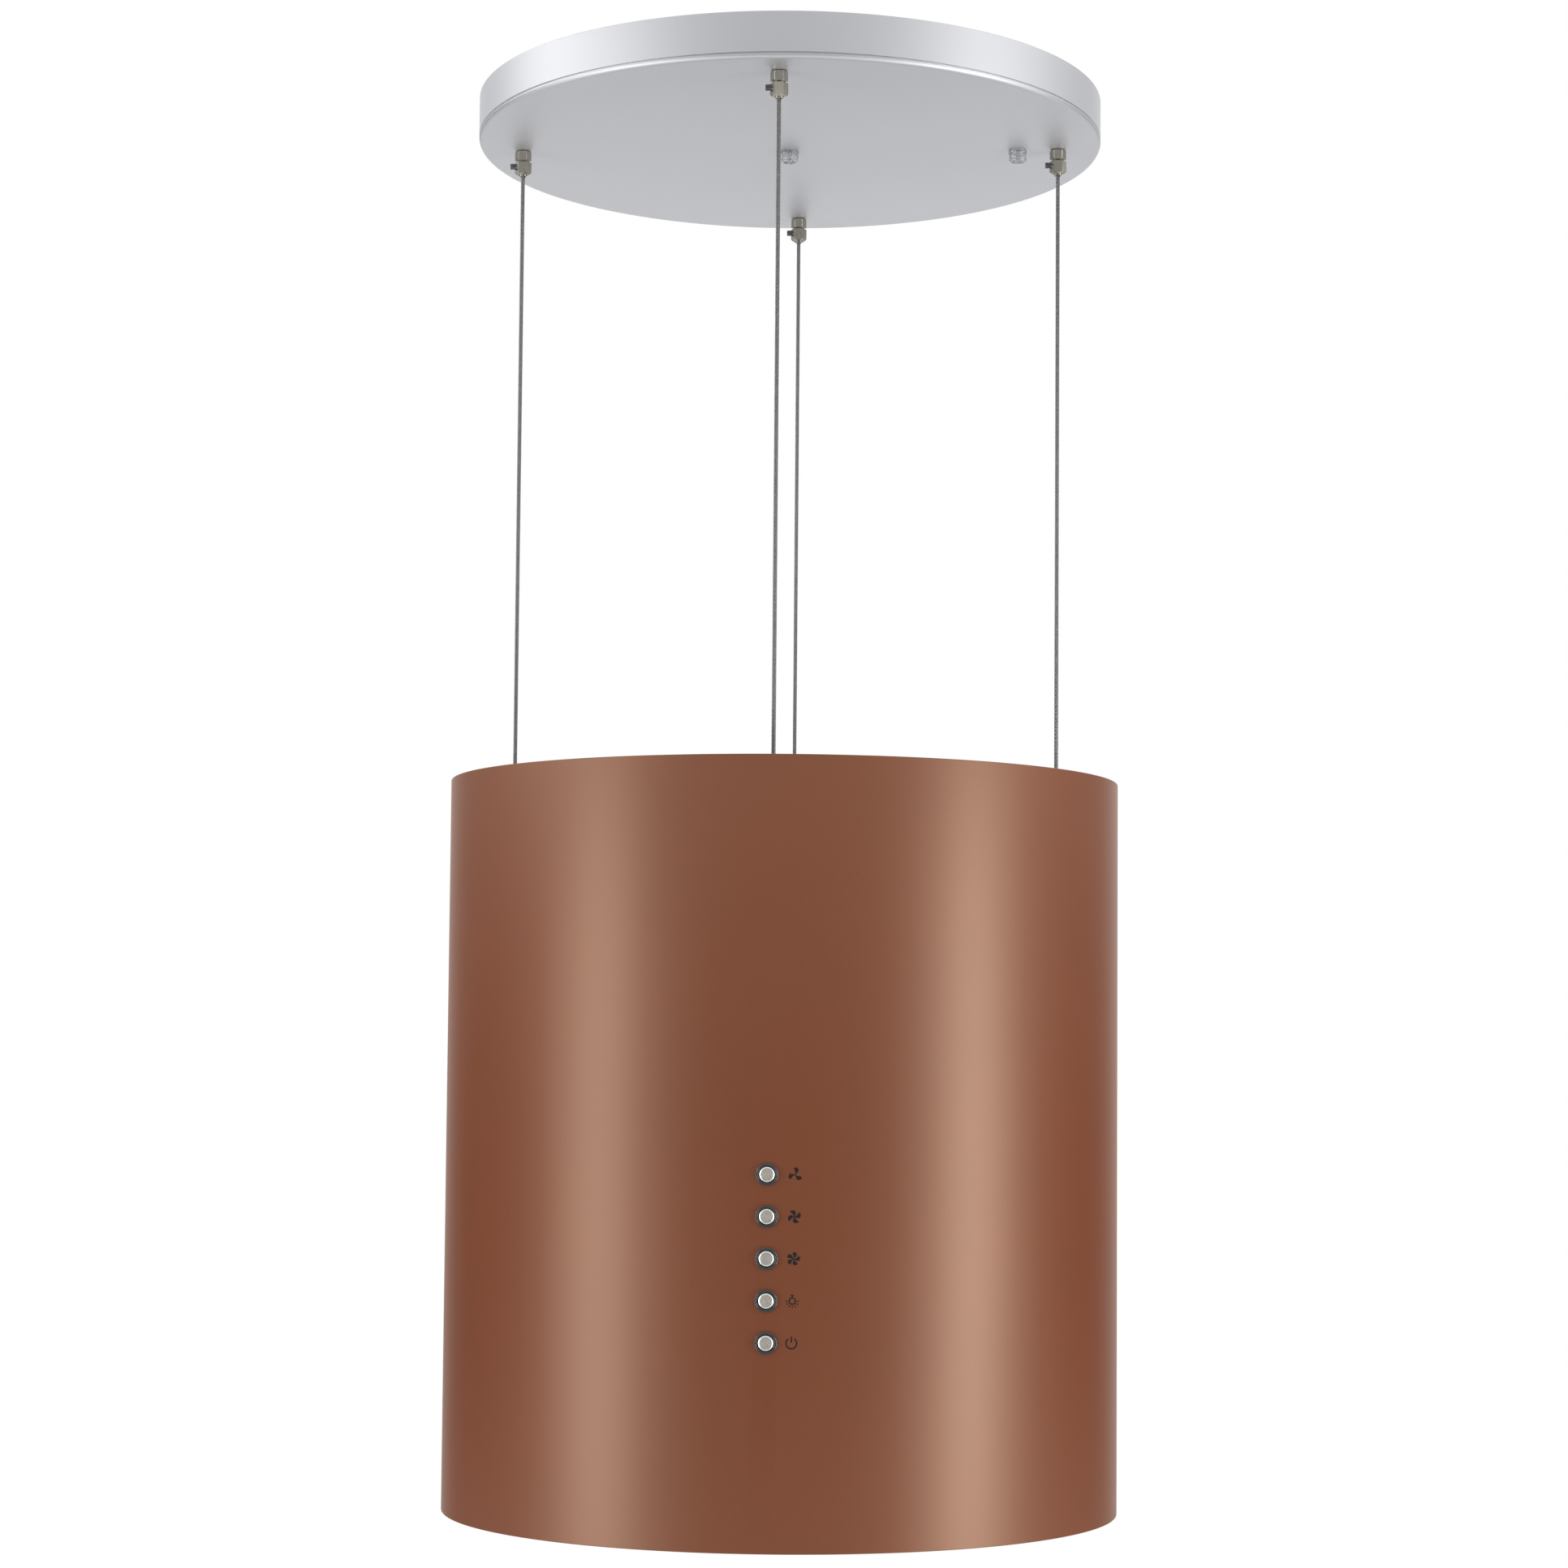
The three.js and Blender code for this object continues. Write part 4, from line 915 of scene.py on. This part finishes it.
def filter_mesh():
    """Layers of expanded aluminium: zigzag strands across each other on both sides of a core sheet."""
    low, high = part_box("filter_mesh")
    width, thick, pitch = 0.9 * MM, 0.4 * MM, 5.2 * MM
    swing = pitch * 0.245
    rows = int((high.y - low.y) / pitch)
    steps = int((high.x - low.x) / (pitch * 0.9))
    layers = [(low.z + 0.3 * MM, 0.0), (low.z + 1.2 * MM, pitch / 2)]
    layers += [(high.z - 1.6 * MM, pitch / 2), (high.z - 0.7 * MM, 0.0)]
    points, faces = [], []
    for level, shift in layers:
        for row in range(rows + 1):
            for mirrored in (-1, 1):
                base = len(points)
                z = level + 0.25 * MM * mirrored
                for i in range(steps + 1):
                    x = low.x + (high.x - low.x) * i / steps
                    wave = swing * (1 if i % 2 else -1) * mirrored
                    y = min(max(low.y + row * pitch + shift + wave, low.y + width), high.y - width)
                    front, back = y - width / 2, y + width / 2
                    points += [(x, front, z), (x, back, z), (x, back, z + thick), (x, front, z + thick)]
                for a in range(base, base + 4 * steps, 4):
                    for k in range(4):
                        n = (k + 1) % 4
                        faces.append([a + k, a + 4 + k, a + 4 + n, a + n])
                end = base + 4 * steps
                faces.append([base + 3, base + 2, base + 1, base])
                faces.append([end, end + 1, end + 2, end + 3])
    core = block((low.x, low.y, low.z + 1.8 * MM), (high.x, high.y, high.z - 1.8 * MM))
    whole = joined(mesh_from(points, faces), core)
    add("mesh_pack", whole, ALUMINIUM, "filter", ["filter_mesh"], sharp=20)


def filter_frame():
    """A square frame with a lip under the mesh."""
    low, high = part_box("filter_frame")
    size = high.x - low.x
    rail, lip, wall = 12 * MM, 4 * MM, 1.2 * MM
    inner = size - 2 * rail
    mouth = inner - 2 * lip
    outside = rectangle(size, size, corner=1.5 * MM)
    lip_hole, rail_hole = rectangle(mouth, mouth, corner=1.5 * MM), rectangle(inner, inner, corner=1.0 * MM)
    floor = flat_plate([outside, lip_hole], low.z, low.z + wall, 0.25 * MM)
    side = flat_plate([outside, rail_hole], low.z + wall * 0.9, high.z, 0.4 * MM)
    add("mesh_frame", joined(floor, side), ALUMINIUM, "filter", ["filter_frame"])


def filter_handle():
    """A bent-bar handle."""
    low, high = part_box("filter_handle")
    bar_size, bend = 3 * MM, 3.5 * MM
    outer = [(low.x, high.z)] + arc(low.x + bend, low.z + bend, bend, 180, 270, 6)
    outer += arc(high.x - bend, low.z + bend, bend, 270, 360, 6) + [(high.x, high.z)]
    small = bend - bar_size
    inner = [(high.x - bar_size, high.z)] + arc(high.x - bend, low.z + bend, small, 360, 270, 6)
    inner += arc(low.x + bend, low.z + bend, small, 270, 180, 6) + [(low.x + bar_size, high.z)]
    mesh = moved(prism(outer + inner, -high.y, -low.y), Matrix.Rotation(math.pi / 2, 4, "X"))
    add("pull", softened(mesh, 0.5 * MM, 2, 40), SHAFT, "filter", ["filter_handle"])


def hinge_pin():
    low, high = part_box("hinge_pin")
    centre = middle("hinge_pin")
    pin = along_x(rod((high.z - low.z) / 2, low.x, high.x, edge=0.4 * MM), centre.y, centre.z)
    add("filter_pin", pin, SHAFT, "hood", ["hinge_pin"])


def lamp(side):
    """A steel ring with its barrel through the panel, and a ribbed frosted lens in it."""
    ring_node, lens_node = f"lamp_ring_{side}", f"lamp_lens_{side}"
    low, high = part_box(ring_node)
    lens_low, lens_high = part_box(lens_node)
    place = middle(ring_node)
    radius = (lens_high.x - lens_low.x) / 2
    outer, bore, barrel = (high.x - low.x) / 2, radius + 0.3 * MM, 21.7 * MM
    seat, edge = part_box("bottom_panel")[0].z - 0.3 * MM, 1.2 * MM
    profile = [(bore - edge, low.z + 0.3 * MM), (bore - edge + 0.3 * MM, low.z)]
    profile += [(outer - edge, low.z)] + arc(outer - edge, low.z + edge, edge, -70, 0, 4)
    profile += [(outer, seat), (barrel, seat), (barrel, high.z), (bore, high.z)]
    profile += [(bore, seat), (bore - edge, seat)]
    ring = at(turned(profile, MEDIUM), place.x, place.y, 0)
    add(f"lamp_bezel_{side}", ring, SHAFT, "hood", [ring_node])
    ribs, rounding = 8, 0.5 * MM
    crest, trough = lens_low.z + 0.05 * MM, lens_low.z + 0.25 * MM
    glass = [(0, crest)]
    for i in range(1, ribs + 1):
        glass.append((radius * i / ribs - rounding, trough if i % 2 else crest))
    glass += arc(radius - rounding, lens_low.z + rounding, rounding, -90, 0, 3)
    glass += [(radius, lens_high.z), (0, lens_high.z)]
    lens = at(turned(glass, MEDIUM), place.x, place.y, 0)
    add(f"lamp_glass_{side}", lens, LENS, "hood", [lens_node])


# ---------------------------------------------------------------- pieces inside


def carry_over(material, *nodes):
    """Gives CAD nodes whose shape stays a better material."""
    for name in nodes:
        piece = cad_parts[name]
        piece.data.materials.clear()
        piece.data.materials.append(material)


def inside():
    carry_over(ZINC, "hanger_frame", "blower_wrapper", "blower_side_left", "blower_side_right")
    carry_over(ZINC, "impeller", "motor_bracket", "control_box")
    carry_over(MOTOR_PAINT, "motor_body")
    carry_over(SHAFT, "motor_shaft")
    carry_over(ALUMINIUM, "capacitor")
    carry_over(CARBON, "charcoal_filter_left", "charcoal_filter_right")
    carry_over(BOARD, "switch_board")


# ---------------------------------------------------------------- studio


def softbox(name, place, target, width, height, power):
    data = bpy.data.lights.new(name, "AREA")
    data.shape = "RECTANGLE"
    data.size, data.size_y = width, height
    data.energy = power
    light = bpy.data.objects.new(name, data)
    bpy.context.scene.collection.objects.link(light)
    light.location = place
    light.rotation_euler = (Vector(target) - Vector(place)).to_track_quat("-Z", "Y").to_euler()


LIGHT_DISTANCE = 1.7  # from the hood's axis to each softbox
# name, azimuth from the front in degrees, level, width and height, power in watts
LIGHTS = (
    ("left_box", -58, -0.78, (0.56, 1.8), 13.2),
    ("right_box", 65, -0.78, (0.5, 1.8), 16.8),
    ("left_upper_box", -90, 0.5, (0.8, 0.6), 3.6),
    ("right_upper_box", 86, 0.5, (0.9, 0.6), 1.2),
)


def pale_floor():
    """A pale floor that fades to nothing far out, so that no view shows its edge."""
    level, thick, radius, fade_from = -2.8, 0.02, 12, 4
    disc = turned([(0, level - thick), (radius, level - thick), (radius, level), (0, level)], 96)
    floor = bpy.data.objects.new("floor", disc)
    bpy.context.scene.collection.objects.link(floor)
    material, tree, bsdf = shader("pale_floor", Roughness=0.7, Base_Color=rgb(0.76, 0.76, 0.76))
    place = node(tree, "ShaderNodeTexCoord")
    length = node(tree, "ShaderNodeVectorMath", operation="LENGTH")
    tree.links.new(place.outputs["Object"], length.inputs["Vector"])
    fade = ranged(tree, length.outputs["Value"], fade_from, radius, interpolation_type="SMOOTHSTEP")
    nothing = node(tree, "ShaderNodeBsdfTransparent")
    blend = node(tree, "ShaderNodeMixShader")
    tree.links.new(fade, blend.inputs["Fac"])
    tree.links.new(bsdf.outputs["BSDF"], blend.inputs[1])
    tree.links.new(nothing.outputs["BSDF"], blend.inputs[2])
    tree.links.new(blend.outputs["Shader"], tree.nodes["Material Output"].inputs["Surface"])
    disc.materials.append(material)


def surround():
    """White where the camera sees it; to the object it is dim in front and bright behind and above."""
    world = bpy.data.worlds.new("surround")
    bpy.context.scene.world = world
    world.use_nodes = True
    tree = world.node_tree
    links = tree.links
    place = node(tree, "ShaderNodeTexCoord")
    parts = node(tree, "ShaderNodeSeparateXYZ")
    links.new(place.outputs["Generated"], parts.inputs["Vector"])
    smooth = {"interpolation_type": "SMOOTHSTEP"}
    above = ranged(tree, parts.outputs["Z"], -0.05, 0.45, 0.09, 0.8, **smooth)
    behind = ranged(tree, parts.outputs["Y"], 0.75, 1.0, 0.0, 1.1, **smooth)
    total = node(tree, "ShaderNodeMath", operation="ADD")
    links.new(above, total.inputs[0])
    links.new(behind, total.inputs[1])
    felt = tree.nodes["Background"]
    felt.inputs["Color"].default_value = rgb(1, 1, 1)
    links.new(total.outputs["Value"], felt.inputs["Strength"])
    seen = node(tree, "ShaderNodeBackground", Color=rgb(1, 1, 1), Strength=1.0)
    path = node(tree, "ShaderNodeLightPath")
    chosen = node(tree, "ShaderNodeMixShader")
    links.new(path.outputs["Is Camera Ray"], chosen.inputs["Fac"])
    links.new(felt.outputs["Background"], chosen.inputs[1])
    links.new(seen.outputs["Background"], chosen.inputs[2])
    links.new(chosen.outputs["Shader"], tree.nodes["World Output"].inputs["Surface"])


def studio():
    """The floor far below the hood, side boxes for the hood and the canopy, and the surround."""
    pale_floor()
    for name, azimuth, level, size, power in LIGHTS:
        angle = math.radians(azimuth)
        place = (LIGHT_DISTANCE * math.sin(angle), -LIGHT_DISTANCE * math.cos(angle), level)
        softbox(name, place, (0, 0, level), *size, power)
    surround()
    bpy.context.scene.view_settings.view_transform = "Standard"


# ---------------------------------------------------------------- everything in place

canopy_cover()
ceiling_bracket()
terminal_block()
for number in NUMBERS:
    gripper_nut(number)
    gripper_body(number)
    lock_screw(number)
    rope(number)
    wire_anchor(number)
for which in ("centre", "side"):
    cord_grip(which)
hood_shell()
top_cover()
cable_gland()
bottom_panel()
for number in BUTTONS:
    button_bezel(number)
    button_cap(number)
pictograms()
filter_mesh()
filter_frame()
filter_handle()
hinge_pin()
for side in SIDES:
    lamp(side)
inside()
studio()
